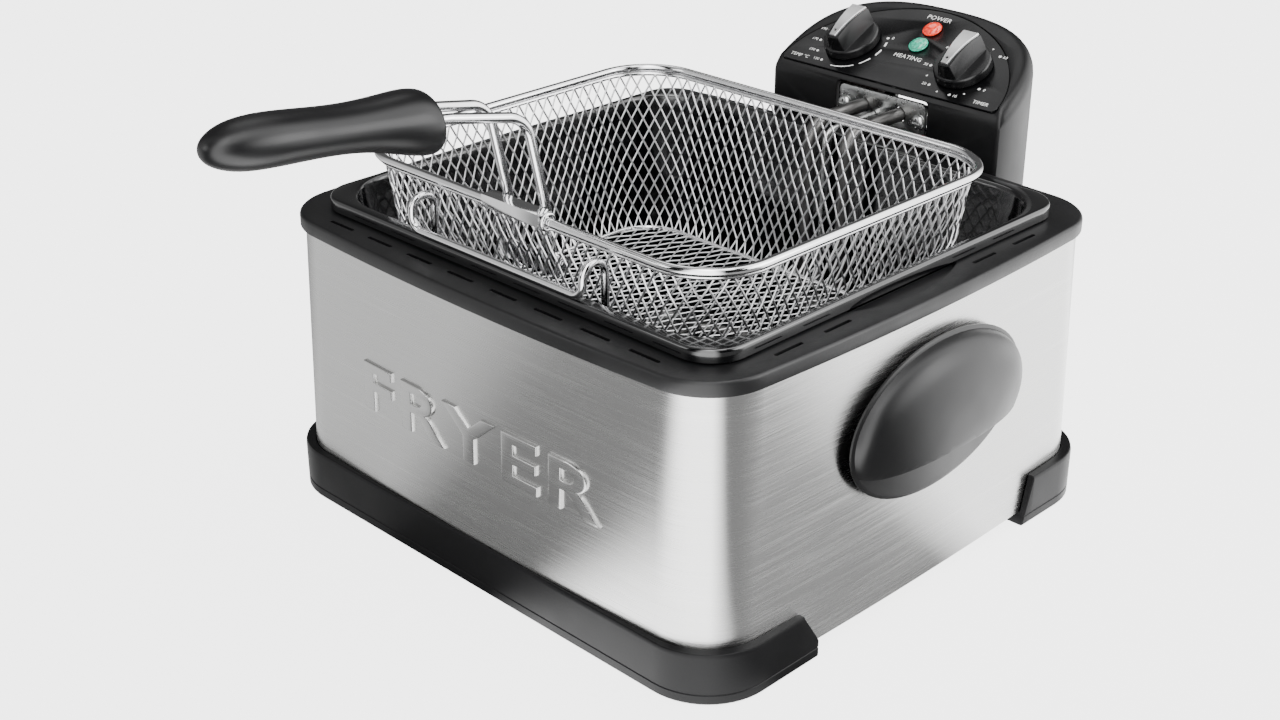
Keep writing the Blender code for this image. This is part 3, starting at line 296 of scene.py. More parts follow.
STEEL = brushed_steel()
BARE_STEEL = plated_metal("zinc_plated_steel", "bfc0bf", 0.24, 0.1)
CHROME = plated_metal("nickel_plated_wire", "dcdcdd", 0.09, 0.07)
MESH_WIRE = plated_metal("plated_mesh_wire", "cfcfd0", 0.3, 0.1)
ELEMENT = plated_metal("oxidised_steel_tube", "6b6a69", 0.3, 0.15)
BRASS = plated_metal("brass", "c9a45c", 0.22, 0.1)
SPUN = plated_metal("bright_insert", "dedede", 0.34, 0.08)
ENAMEL = black_enamel()
FRAME_BLACK = moulded_plastic("grained_frame_plastic", "0b0b0c", 0.42, 0.9, 0.06, Specular_IOR_Level=0.35)
BASE_BLACK = moulded_plastic("grained_base_plastic", "0b0b0c", 0.44, 0.9, 0.05, Specular_IOR_Level=0.15)
HEAD_BLACK = moulded_plastic("satin_head_plastic", "09090a", 0.38, 0.7, 0.02, Specular_IOR_Level=0.3)
PANEL_BLACK = moulded_plastic("gloss_panel", "060607", 0.24, 1.2, 0.006, Specular_IOR_Level=0.2)
KNOB_BLACK = moulded_plastic("satin_knob_plastic", "0a0a0b", 0.3, 0.8, 0.01, Specular_IOR_Level=0.35)
GRIP_BLACK = moulded_plastic("satin_grip_plastic", "080809", 0.36, 0.8, 0.015, Specular_IOR_Level=0.35)
BAKELITE = moulded_plastic("bakelite", "3a2f2a", 0.5, 1.0, 0.03)
RUBBER = moulded_plastic("rubber", "1c1c1c", 0.75, 0.6, 0.04)
PRINT = moulded_plastic("white_screen_print", "dddddb", 0.5, 0.6, 0.004)
RED_LAMP_AND_BUTTON_PAINTED_GLOW = lamp_plastic("red_lens_lamp_and_button_painted_glow", "c4140c", "ff4a2c")
GREEN_LAMP = lamp_plastic("green_lens_plastic", "0f6e57", "3fc2a0")


# ---- ways of making a piece


def paint(piece, material):
    """Gives a piece one material."""
    piece.data.materials.clear()
    piece.data.materials.append(material)


def active(piece):
    """Makes a piece the only one that the next tools work on."""
    bpy.ops.object.select_all(action="DESELECT")
    bpy.context.view_layer.objects.active = piece
    piece.select_set(True)


def settle(piece, material, body, node=None, smooth=32):
    """A finished piece: smoothed, painted, riding on its body and standing for its node, if it has one."""
    active(piece)
    bpy.ops.object.shade_smooth_by_angle(angle=radians(smooth))
    paint(piece, material)
    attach(piece, body)
    if node:
        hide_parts(node)


def soften(piece, width, segments=2, angle=35):
    """Rounds a piece's sharp edges."""
    active(piece)
    modifier = piece.modifiers.new("soft_edges", "BEVEL")
    modifier.width = width * MM
    modifier.segments = segments
    modifier.limit_method = "ANGLE"
    modifier.angle_limit = radians(angle)
    bpy.ops.object.modifier_apply(modifier=modifier.name)


def carve(piece, tool):
    """Cuts a helper shape out of a piece and clears it away."""
    active(piece)
    modifier = piece.modifiers.new("carve", "BOOLEAN")
    modifier.operation = "DIFFERENCE"
    modifier.solver = "EXACT"
    modifier.object = tool
    bpy.ops.object.modifier_apply(modifier=modifier.name)
    bpy.data.objects.remove(tool)


def skin(name, rings, joined=False, smooth=32):
    """Draws a body ring by ring: a circle is laid on the first outline and extruded on to each one after it.
    Its ends are filled, or the last ring is joined to the first."""
    bpy.ops.mesh.primitive_circle_add(vertices=len(rings[0]), radius=1.0)
    piece = bpy.context.object
    piece.name = name
    bpy.ops.object.mode_set(mode="EDIT")
    mesh = bmesh.from_edit_mesh(piece.data)
    mesh.verts.ensure_lookup_table()
    for vertex, place in zip(mesh.verts, rings[0]):
        vertex.co = place
    bmesh.update_edit_mesh(piece.data)
    before = rings[0]
    for ring in rings[1:] + ([rings[0]] if joined else []):
        bpy.ops.mesh.extrude_edges_move()
        mesh = bmesh.from_edit_mesh(piece.data)
        spots = {tuple(round(c, 6) for c in place): i for i, place in enumerate(before)}
        for vertex in mesh.verts:
            if vertex.select:
                vertex.co = ring[spots[tuple(round(c, 6) for c in vertex.co)]]
        bmesh.update_edit_mesh(piece.data)
        before = ring
    bpy.ops.mesh.select_all(action="SELECT")
    bpy.ops.mesh.remove_doubles(threshold=1e-6)
    if not joined:
        bpy.ops.mesh.select_all(action="DESELECT")
        bpy.ops.mesh.select_non_manifold()
        bpy.ops.mesh.fill_holes(sides=0)
    bpy.ops.mesh.select_all(action="SELECT")
    bpy.ops.mesh.normals_make_consistent(inside=False)
    bpy.ops.object.mode_set(mode="OBJECT")
    bpy.ops.object.shade_smooth_by_angle(angle=radians(smooth))
    return piece


def merged(piece, gap):
    """Opens a piece for editing, with its doubled corners merged and all of it chosen."""
    active(piece)
    bpy.ops.object.mode_set(mode="EDIT")
    bpy.ops.mesh.select_all(action="SELECT")
    bpy.ops.mesh.remove_doubles(threshold=gap)


def box_shape(name, low, high, round_off=0.0, segments=3):
    """A block between two corners, with all its edges rounded."""
    low, high = at(*low), at(*high)
    bpy.ops.mesh.primitive_cube_add(size=1.0, location=(low + high) / 2, scale=high - low)
    piece = bpy.context.object
    piece.name = name
    bpy.ops.object.transform_apply(location=True, rotation=True, scale=True)
    if round_off:
        bpy.ops.object.mode_set(mode="EDIT")
        bpy.ops.mesh.select_all(action="SELECT")
        bpy.ops.mesh.bevel(offset=round_off * MM, segments=segments, affect="EDGES")
        bpy.ops.object.mode_set(mode="OBJECT")
    return piece


def ellipse(half_x, half_y, steps):
    """(x, y) pairs round an ellipse."""
    angles = [2 * pi * i / steps for i in range(steps)]
    return [(half_x * cos(a), half_y * sin(a)) for a in angles]


def turned(name, profile, centre, axis, steps=48):
    """A turned body: (radius, height) pairs, from one end of the axis to the other."""
    spin = Vector((0, 0, 1)).rotation_difference(Vector(axis).normalized()).to_matrix()
    rings = []
    for radius, height in profile:
        ring = [Vector((x, y, height)) for x, y in ellipse(radius, radius, steps)]
        rings.append([Vector(centre) + spin @ spot * MM for spot in ring])
    return skin(name, rings)


def refined(node, body, material, width=0.3, smooth=32):
    """A node's own shape with its seams closed and its edges rounded."""
    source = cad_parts[node]
    piece = bpy.data.objects.new(f"{node}_shaped", source.data.copy())
    bpy.context.collection.objects.link(piece)
    merged(piece, 2e-6)
    bpy.ops.mesh.dissolve_limited(angle_limit=radians(0.4))
    bpy.ops.object.mode_set(mode="OBJECT")
    if width:
        soften(piece, width)
    settle(piece, material, body, node, smooth)


def filleted(points, radius, steps=8):
    """A polyline with its corners rounded, in metres."""
    points = [Vector(p) for p in points]
    made = [points[0]]
    for before, corner, after in zip(points, points[1:], points[2:]):
        back, ahead = (before - corner).normalized(), (after - corner).normalized()
        half = back.angle(ahead) / 2
        if half > radians(88):
            made.append(corner)
            continue
        reach = min(radius / tan(half), (before - corner).length * 0.49, (after - corner).length * 0.49)
        bend = reach * tan(half)
        centre = corner + (back + ahead).normalized() * (bend / sin(half))
        start, end = corner + back * reach - centre, corner + ahead * reach - centre
        for i in range(steps + 1):
            made.append(centre + start.normalized().slerp(end.normalized(), i / steps) * bend)
    made.append(points[-1])
    return [at(*place) for place in made]


def wires(name, routes, radius, sides=3, closed=False):
    """Round wires along routes of places in metres, as one mesh."""
    curve = bpy.data.curves.new(name, "CURVE")
    curve.dimensions = "3D"
    for route in routes:
        spline = curve.splines.new("POLY")
        spline.points.add(len(route) - 1)
        for point, place in zip(spline.points, route):
            point.co = (*place, 1.0)
        spline.use_cyclic_u = closed
    curve.bevel_depth = radius * MM
    curve.bevel_resolution = sides
    curve.use_fill_caps = not closed
    piece = bpy.data.objects.new(name, curve)
    bpy.context.collection.objects.link(piece)
    active(piece)
    bpy.ops.object.convert(target="MESH")
    return bpy.context.object


def lettering(name, body, size, **settings):
    """A word round the origin as a mesh, before it is laid in its place."""
    bpy.ops.object.text_add(location=(0, 0, 0))
    words = bpy.context.object
    words.name, words.data.body, words.data.size = name, body, size
    words.data.align_x = words.data.align_y = "CENTER"
    for setting, value in settings.items():
        setattr(words.data, setting, value)
    bpy.ops.object.convert(target="MESH")
    return bpy.context.object


# ---- outlines


def rounded(half_x, front, rear, radius, bow=0.0, steps=14, straight=9):
    """A rounded rectangle in plan, anticlockwise from the front right, whose sides bow outwards."""
    middle, half_y = (front + rear) / 2, (rear - front) / 2
    corners = ((1, -1, -pi / 2), (1, 1, 0.0), (-1, 1, pi / 2), (-1, -1, pi))
    points = []
    for side, end, start in corners:
        centre = (side * (half_x - radius), middle + end * (half_y - radius))
        for i in range(steps + 1):
            angle = start + pi / 2 * i / steps
            points.append((centre[0] + radius * cos(angle), centre[1] + radius * sin(angle)))
        last, turn = points[-1], start + pi / 2
        length = 2 * (half_y - radius) if abs(sin(turn)) < 0.5 else 2 * (half_x - radius)
        way = (cos(turn + pi / 2), sin(turn + pi / 2))
        for i in range(1, straight + 1):
            share = length * i / (straight + 1)
            points.append((last[0] + way[0] * share, last[1] + way[1] * share))
    bowed = []
    for x, y in points:
        along_x = max(0.0, 1 - (x / (half_x - radius)) ** 2)
        along_y = max(0.0, 1 - ((y - middle) / (half_y - radius)) ** 2)
        right, rear_side = 1 if x > 0 else -1, 1 if y > middle else -1
        bowed.append((x + bow * along_y * right, y + bow * along_x * rear_side))
    return bowed


def level(outline, z):
    """An outline in plan, laid at a height."""
    return [at(x, y, z) for x, y in outline]


def shell_size(z, inset=0.0):
    """The steel's half width and half depth at a height: it narrows upwards."""
    share = (z - shell_low.z) / (shell_high.z - shell_low.z)
    half_x = SHELL_FOOT_X + (SHELL_TOP_X - SHELL_FOOT_X) * share - inset
    half_y = SHELL_FOOT_Y + (SHELL_TOP_Y - SHELL_FOOT_Y) * share - inset
    return half_x, half_y


def shell_ring(z, inset=0.0):
    """The steel's outline at a height."""
    half_x, half_y = shell_size(z, inset)
    return level(rounded(half_x, -half_y, half_y, SHELL_RADIUS - inset, SHELL_BOW), z)


def shell_front(x, z):
    """How far forward the steel's front face lies."""
    half_x, half_y = shell_size(z)
    return -half_y - SHELL_BOW * max(0.0, 1 - (x / (half_x - SHELL_RADIUS)) ** 2)


def panel_point(x, up, out=0.0):
    """A place on the sloped control panel, in metres: up is along the slope, out along its normal."""
    y = HEAD_FRONT + up * cos(PANEL_SLOPE) - out * sin(PANEL_SLOPE)
    return at(x, y, PANEL_Z + up * sin(PANEL_SLOPE) + out * cos(PANEL_SLOPE))


PANEL_NORMAL = Vector((0.0, -sin(PANEL_SLOPE), cos(PANEL_SLOPE)))


# ---- housing


def make_shell():
    """The brushed steel wrap."""
    rings = [shell_ring(shell_low.z), shell_ring(shell_low.z + 60), shell_ring(shell_high.z)]
    rings += [shell_ring(shell_high.z, SHELL_WALL), shell_ring(shell_low.z, SHELL_WALL)]
    settle(skin("steel_wrap", rings, joined=True), STEEL, "housing", "steel_shell", 50)


def make_emboss():
    """A generic word pressed outwards in the front: sloped edges and a flat top."""
    edges = {"offset": 0.004, "extrude": 0.03, "bevel_depth": 0.022, "bevel_resolution": 2}
    words = lettering("pressed_word", "FRYER", 1.0, space_character=1.16, **edges)
    wide, tall = words.dimensions.x, words.dimensions.y
    for vertex in words.data.vertices:
        x, z = vertex.co.x * WORD_WIDE / wide, WORD_Z + vertex.co.y * WORD_TALL / tall
        vertex.co = at(x, shell_front(x, z) - max(vertex.co.z, -0.01) * WORD_RISE, z)
    merged(words, 1e-6)
    bpy.ops.mesh.normals_make_consistent(inside=False)
    bpy.ops.object.mode_set(mode="OBJECT")
    settle(words, STEEL, "housing", None, 30)


def make_top_frame():
    """The collar: a skirt over the steel's edge, a flat deck with vents and a lip down beside the tank."""

    top = DECK_Z

    def outer(inset, z):
        half_x, half_y = FRAME_X - inset, FRAME_Y - inset
        return level(rounded(half_x, -half_y, half_y, FRAME_RADIUS - inset, FRAME_BOW), z)

    def inner(spread, z):
        return level(rounded(120.4 + spread, -114.6 - spread, 112.4 + spread, 17.0 + spread), z)

    rings = [outer(0.3, SKIRT_Z), outer(0.0, SKIRT_Z + 0.5), outer(0.0, top - 1.6), outer(0.25, top - 0.8)]
    rings += [outer(0.8, top - 0.25), outer(1.6, top), outer(9.0, top), inner(0.5, top)]
    rings += [inner(0.0, top - 0.5), inner(0.0, top - 12), inner(1.6, top - 12), inner(1.6, top - 2.8)]
    rings += [outer(1.5, top - 2.8), outer(1.2, SKIRT_Z)]
    collar = skin("top_collar", rings, joined=True)
    # Vent slots 16 mm long: eight along the front, and two pairs beside each dip.
    spots = [(-93.5 + 26.7 * i, -123.2, 8.0, 0.9) for i in range(8)]
    spots += [(side * 127.8, y, 0.9, 8.0) for side in (1, -1) for y in (-80.5, -51.5, 45.5, 74.5)]
    for x, y, wide, deep in spots:
        low, high = (x - wide, y - deep, top - 6), (x + wide, y + deep, top + 6)
        carve(collar, box_shape("vent", low, high, 0.6, 2))
    for side in (1, -1):
        carve(collar, finger_dip(side))
    settle(collar, FRAME_BLACK, "housing", "top_frame", 40)


def finger_dip(side):
    """A shallow lens-shaped dip beside the tank, where a finger gets under its flange."""
    half, deep, middle = 37.0, 8.6, -2.6
    radius = (half**2 + deep**2) / (2 * deep)
    edge = 121.9 + deep
    rings = []
    for lift, spread in ((-1.4, -0.8), (-0.9, -0.1), (2.0, 0.5)):
        arc = []
        for i in range(25):
            angle = (i / 24 * 2 - 1) * half / radius
            arc.append((edge + spread - radius * (1 - cos(angle)), middle + radius * sin(angle)))
        arc += [(114.0, middle + half), (114.0, middle - half)]
        rings.append([at(side * x, y, DECK_Z + lift) for x, y in arc])
    return skin("dip", rings)


def make_base_bands():
    """The two plastic bands round the foot, with a parting line and slanted ends."""

    def outer(inset, z):
        return level(rounded(BAND_X - inset, -BAND_Y + inset, BAND_Y - inset, BAND_RADIUS - inset), z)

    top = BAND_TOP_Z
    rings = [outer(1.4, 0.8), outer(0.5, 1.0), outer(0.0, 1.7), outer(0.0, 5.2), outer(0.35, 5.5)]
    rings += [outer(0.35, 5.9), outer(0.0, 6.2), outer(0.0, top - 1.8), outer(0.15, top - 0.9)]
    rings += [outer(0.4, top - 0.25), outer(0.8, top), shell_ring(top, -0.3), shell_ring(6.7, -0.3)]
    rings += [outer(14.0, 6.7), outer(14.0, 0.8)]
    # Each band ends on a slant: where at its top, where and how low at its toe, and which way is cut off.
    for node, end, toe, toe_z, far in (
        ("front_base_band", -78.7, -69.4, 9.0, 200.0),
        ("rear_base_band", 82.6, 76.2, 2.0, -200.0),
    ):
        band = skin(f"{node}_shaped", rings, joined=True)
        profile = [(end, 40.0), (end, top - 1.0), (toe, toe_z), (toe, -5.0), (far, -5.0), (far, 40.0)]
        carve(band, skin("band_end", [[at(x, y, z) for y, z in profile] for x in (-200.0, 200.0)]))
        soften(band, 0.5, 3, 50)
        settle(band, BASE_BLACK, "housing", node, 30)


def make_side_handles():
    """Oval hand holds: a domed hood over a finger pocket, on a thin oval plate."""
    base, plate, middle, high_z = SIDE_HANDLE_X, 1.8, SIDE_HANDLE_Y, SIDE_HANDLE_Z
    for side, name in ((1, "right"), (-1, "left")):

        def oval(inset, lift, shrink=1.0):
            long, high = (SIDE_HANDLE_LONG - inset) * shrink, (SIDE_HANDLE_HIGH - inset) * shrink
            return [at(side * (base + lift), middle + y, high_z + z) for y, z in ellipse(long, high, 64)]

        rings = [oval(0.4, 0.0), oval(0.0, 0.4), oval(0.0, 1.2), oval(0.5, 1.6), oval(1.6, plate)]
        for i in range(1, 14):
            angle = pi / 2 * i / 14.0
            rise = plate + (SIDE_HANDLE_OUT - plate) * sin(angle) ** 0.95
            rings.append(oval(2.0, rise, cos(angle) ** 0.85))
        hood = skin(f"side_hood_{name}", rings)
        near, deep, far = (side * (base + lift) for lift in (plate + 0.1, plate + 7.7, 36.1))
        low, high = (min(near, far), middle - 90, high_z - 50), (max(near, far), middle + 90, high_z - 11.5)
        carve(hood, box_shape("hood_cut", low, high))
        low, high = (min(near, deep), middle - 36, high_z - 40), (max(near, deep), middle + 36, high_z + 13)
        carve(hood, box_shape("room", low, high, 3.0, 4))
        soften(hood, 0.9, 3, 50)
        settle(hood, GRIP_BLACK, "housing", f"side_handle_{name}", 35)


def make_tank():
    """The lift-out pot: a rolled flange over the collar and a deep tapering body, all enamelled."""

    def outer(inset, z):
        radius = max(17.5 - inset, 4.0)
        return level(rounded(TANK_X - inset, TANK_FRONT + inset, TANK_REAR - inset, radius), z)

    def inner(inset, z):
        outline = rounded(POT_X - inset, POT_FRONT + inset, POT_REAR - inset, POT_RADIUS - inset)
        return level(outline, z)

    rim, foot = TANK_RIM_Z, tank_low.z
    rings = [inner(10.0, foot), inner(7.0, foot + 0.6), inner(5.2, foot + 2.4), inner(4.2, foot + 8)]
    rings += [inner(1.4, rim - 12), inner(0.4, rim - 5.0), outer(1.4, rim - 4.6), outer(1.2, rim - 5.9)]
    rings += [outer(0.3, rim - 5.9), outer(0.0, rim - 5.5), outer(0.0, rim - 1.5), outer(0.2, rim - 0.8)]
    rings += [outer(0.7, rim - 0.25), outer(1.4, rim), inner(0.3, rim), inner(0.9, rim - 0.2)]
    rings += [inner(1.6, rim - 0.9), inner(2.0, rim - 2.0), inner(2.6, rim - 12), inner(4.9, foot + 20)]
    rings += [inner(5.4, foot + 8), inner(6.4, foot + 4), inner(8.4, foot + 1.9), inner(12.0, foot + 1.2)]
    settle(skin("enamelled_pot", rings), ENAMEL, "tank", "oil_tank", 40)


# ---- control head


def dome(half, depth, power, steps=48):
    """The round side of a D-shaped outline: (x, y) pairs from right to left."""
    points = []
    for i in range(steps + 1):
        angle = pi * i / steps
        side = 1 if cos(angle) >= 0 else -1
        points.append((half * abs(cos(angle)) ** power * side, depth * abs(sin(angle)) ** power))
    return points


def head_outline(inset):
    """The head in plan: straight in front, and round behind."""
    half, depth = 70.5 - inset, 55.5 - inset
    points = [(-half + 3.0, HEAD_FRONT + inset), (half - 3.0, HEAD_FRONT + inset)]
    points += [(half - 1.6, HEAD_FRONT + inset + 0.3), (half - 0.8, HEAD_FRONT + inset + 0.9)]
    points += [(x, HEAD_FRONT + 4.0 + y) for x, y in dome(half, depth - 4.0, 2 / 2.7)]
    points += [(-half + 0.8, HEAD_FRONT + inset + 0.9), (-half + 1.6, HEAD_FRONT + inset + 0.3)]
    return points


def head_ring(inset, drop=0.0, z=None):
    """The head's outline, level at z or else that far below its sloped top."""
    ring = []
    for x, y in head_outline(inset):
        slope_z = PANEL_Z + (y - HEAD_FRONT) * tan(PANEL_SLOPE) - drop
        ring.append(at(x, y, slope_z if z is None else z))
    return ring


def panel_plate(name, inset, low, high):
    """A D-shaped plate on the slope, between two heights out from it."""
    half, length, base = 66.0 - inset, 56.0 - inset, 3.0
    outline = [(-half + 1.5, inset), (half - 1.5, inset)]
    outline += [(x, base + y) for x, y in dome(half, length - base, 1.06)]
    return skin(name, [[panel_point(x, up, out) for x, up in outline] for out in (low, high)])


def make_head():
    """The control head's moulding, with the panel's seat and the recess round the heater plate."""
    rings = [head_ring(0.6, z=HEAD_FOOT_Z), head_ring(0.0, z=HEAD_FOOT_Z + 0.6), head_ring(0.0, drop=8.0)]
    rings += [head_ring(0.25, drop=5.6), head_ring(0.9, drop=3.6), head_ring(1.9, drop=1.9)]
    rings += [head_ring(3.2, drop=0.7), head_ring(4.8, drop=0.1), head_ring(6.0)]
    casing = skin("head_moulding", rings)
    cavity = [head_ring(2.6, z=HEAD_FOOT_Z - 10), head_ring(2.6, drop=9.0), head_ring(9.0, drop=3.4)]
    carve(casing, skin("cavity", cavity))
    carve(casing, panel_plate("seat", 0.0, -1.7, 20.0))
    back = box_shape("back", (-44, HEAD_FRONT + 30, HEAD_FOOT_Z - 5), (44, HEAD_FRONT + 90, 171.8), 0.8, 2)
    carve(casing, back)
    recess = box_shape("recess", (-28.5, HEAD_FRONT - 5, 138.0), (28.5, HEAD_FRONT + 8.8, 164.4), 3.0, 4)
    carve(casing, recess)
    for x in (-34.0, 34.0):
        low, high = (x - 5.2, HEAD_FRONT - 4, HEAD_FOOT_Z - 8), (x + 5.2, HEAD_FRONT + 8, 132.0)
        carve(casing, box_shape("groove", low, high))
    bore_panel_holes(casing, 0.8)
    soften(casing, 0.35, 2, 45)
    settle(casing, HEAD_BLACK, "head", "head_casing", 35)


def bore_panel_holes(piece, room):
    """The holes for the two dial shafts and the two lenses, each that much wider all round."""
    for x, up, radius in (
        (-KNOB_X, KNOB_UP, 3.4), (KNOB_X, KNOB_UP, 3.4), (LENS_X, RED_UP, 4.3), (LENS_X, GREEN_UP, 4.3)
    ):
        bore = [(radius + room, -30), (radius + room, 30)]
        carve(piece, turned("hole", bore, panel_point(x, up), PANEL_NORMAL, 32))


def make_panel():
    """The glossy D-shaped plate."""
    panel = panel_plate("gloss_panel_plate", 0.4, -1.4, 0.0)
    bore_panel_holes(panel, 0.0)
    soften(panel, 0.3, 2, 60)
    settle(panel, PANEL_BLACK, "head", "control_panel", 30)


def print_on_panel(name, body, x, up, height):
    """A printed word or number, laid a hair above the panel; a capital is 1/1.38 of the letters' size."""
    words = lettering(name, body, height * 1.38, space_character=1.08, extrude=0.03, resolution_u=3)
    for vertex in words.data.vertices:
        vertex.co = panel_point(x + vertex.co.x, up + vertex.co.y, 0.04 + vertex.co.z)
    return words


def print_dot(x, up, radius):
    """A printed dot."""
    dot = ellipse(radius, radius, 14)
    return skin("dot", [[panel_point(x + u, up + v, out) for u, v in dot] for out in (0.01, 0.07)])


def print_dash(x, up, radius, start, end, thick, steps=10):
    """A printed stroke that follows a circle."""
    rings = []
    for i in range(steps + 1):
        a = start + (end - start) * i / steps
        ring = []
        for reach, out in ((-thick, 0.01), (thick, 0.01), (thick, 0.07), (-thick, 0.07)):
            ring.append(panel_point(x + (radius + reach) * cos(a), up + (radius + reach) * sin(a), out))
        rings.append(ring)
    return skin("dash", rings)


def make_print():
    """The panel's white print: words, numbers, dots and the heat scale. Angles run from the knob's right."""
    marks = [print_on_panel("print_power", "POWER", 0.0, 50.2, 2.9)]
    marks.append(print_on_panel("print_heating", "HEATING", 1.2, 20.6, 2.7))
    marks.append(print_on_panel("print_temp", "TEMP °C", -56.0, 4.6, 2.1))
    marks.append(print_on_panel("print_timer", "TIMER", 56.0, 3.8, 2.2))
    for angle, word in ((245.0, "130"), (218.5, "150"), (193.0, "170"), (168.0, "190")):
        a = radians(angle)
        spot = (-KNOB_X + 18.5 * cos(a), KNOB_UP + 18.5 * sin(a))
        marks.append(print_dot(*spot, 0.75))
        marks.append(print_on_panel(f"print_{word}", word, spot[0] - 3.6, spot[1], 1.7))
    # The heat scale's dashes grow shorter and thicker towards off.
    for start, end, thick in ((268, 307, 0.28), (316, 335, 0.36), (344, 358, 0.44), (366, 375, 0.5)):
        marks.append(print_dash(-KNOB_X, KNOB_UP, 18.7, radians(start), radians(end), thick))
    a = radians(25)
    marks.append(print_dot(-KNOB_X + 18.5 * cos(a), KNOB_UP + 18.5 * sin(a), 0.75))
    marks.append(print_on_panel("print_off", "0", -KNOB_X + 21.4 * cos(a), KNOB_UP + 20.4 * sin(a), 1.8))
    for i in range(13):
        a = radians(-32 - 23.3 * i)
        spot = (KNOB_X + 18.1 * cos(a), KNOB_UP + 18.1 * sin(a))
        marks.append(print_dot(*spot, 0.5 if i % 2 else 0.75))
        if not i % 2:
            aside = 3.0 if cos(a) > 0 else -3.0
            marks.append(print_on_panel(f"print_{i * 5}_min", f"{i * 5}", spot[0] + aside, spot[1], 1.7))
    words = marks[0]
    active(words)
    for mark in marks:
        mark.select_set(True)
    bpy.ops.object.join()
    words.name = "panel_print"
    merged(words, 1e-7)
    bpy.ops.object.mode_set(mode="OBJECT")
    settle(words, PRINT, "head", None, 20)


def make_knob(side, name):
    """A round skirt and a standing grip whose crest carries a bright pointer."""
    place = Matrix.Translation(panel_point(side * KNOB_X, KNOB_UP, 0.6))
    place @= Vector((0, 0, 1)).rotation_difference(PANEL_NORMAL).to_matrix().to_4x4()
    place @= Matrix.Rotation(radians(90), 4, "Z") @ Matrix.Scale(MM, 4)
    body = f"{name}_dial"

    profile = [(14.2, 0.0), (14.5, 0.3), (14.3, 3.4), (14.1, 4.0), (13.7, KNOB_SKIRT)]
    profile += [(13.4, 4.7), (13.3, 5.4), (12.9, 12.2), (12.6, 15.6)]
    rings = []
    for radius, z in profile:
        rings.append([place @ Vector((x, y, z)) for x, y in ellipse(radius, radius, 56)])
    knob = skin(f"{name}_knob_body", rings)
    for cheek in (-1, 1):
        tool = []
        for z, tail, tip in ((KNOB_SKIRT + 0.1, 7.2, 4.8), (KNOB_TALL + 3, 4.6, 1.6)):
            edge = cheek * 24.0
            corners = [(-20.0, cheek * tip), (20.0, cheek * tail), (20.0, edge), (-20.0, edge)]
            tool.append([place @ Vector((x, y, z)) for x, y in corners])
        carve(knob, skin("cheek", tool))
    over = [(-20.0, 11.3), (-11.6, 12.7), (-5.0, 13.7), (1.0, 14.0), (6.0, 13.7), (11.6, 12.7), (20.0, 11.0)]
    over += [(20.0, 30.0), (-20.0, 30.0)]
    carve(knob, skin("over", [[place @ Vector((x, y, z)) for x, z in over] for y in (-20.0, 20.0)]))
    soften(knob, 0.5, 3, 30)
    settle(knob, KNOB_BLACK, body, f"{name}_knob", 35)
    rings = []
    for i in range(15):
        share = i / 14
        x, half, lift = -11.9 + 23.4 * share, 1.9 + 2.6 * share, 12.5 + 1.5 * sin(pi * (0.06 + 0.88 * share))
        square = [(-half, 0.0), (half, 0.0), (half, 0.75), (half - 0.35, 1.1)]
        square += [(-half + 0.35, 1.1), (-half, 0.75)]
        rings.append([place @ Vector((x, y, lift + z)) for y, z in square])
    strip = skin(f"{name}_pointer", rings)
    dot = turned("dot", [(0.75, -3.0), (0.75, 3.0)], place @ Vector((-8.6, 0, 15.9)), PANEL_NORMAL, 16)
    carve(strip, dot)
    settle(strip, SPUN, body, f"{name}_knob_insert", 35)


def make_lenses():
    """Two round lamp lenses with a stepped rim."""
    profile = [(3.6, -4.0), (3.6, 0.3), (4.8, 0.3), (5.0, 0.5), (4.9, 0.9), (4.5, 1.1), (4.3, 1.1)]
    profile += [(4.1, 1.6), (3.5, 2.1), (2.4, 2.5), (1.0, 2.65), (0.4, 2.67)]
    for node, up, paint_with, slot in (
        ("red_lens", RED_UP, RED_LAMP_AND_BUTTON_PAINTED_GLOW, "red_plastic"),
        ("green_lens", GREEN_UP, GREEN_LAMP, "green_plastic"),
    ):
        lens = turned(f"{node}_shaped", profile, panel_point(LENS_X, up), PANEL_NORMAL)
        settle(lens, paint_with, "head", node, 35)


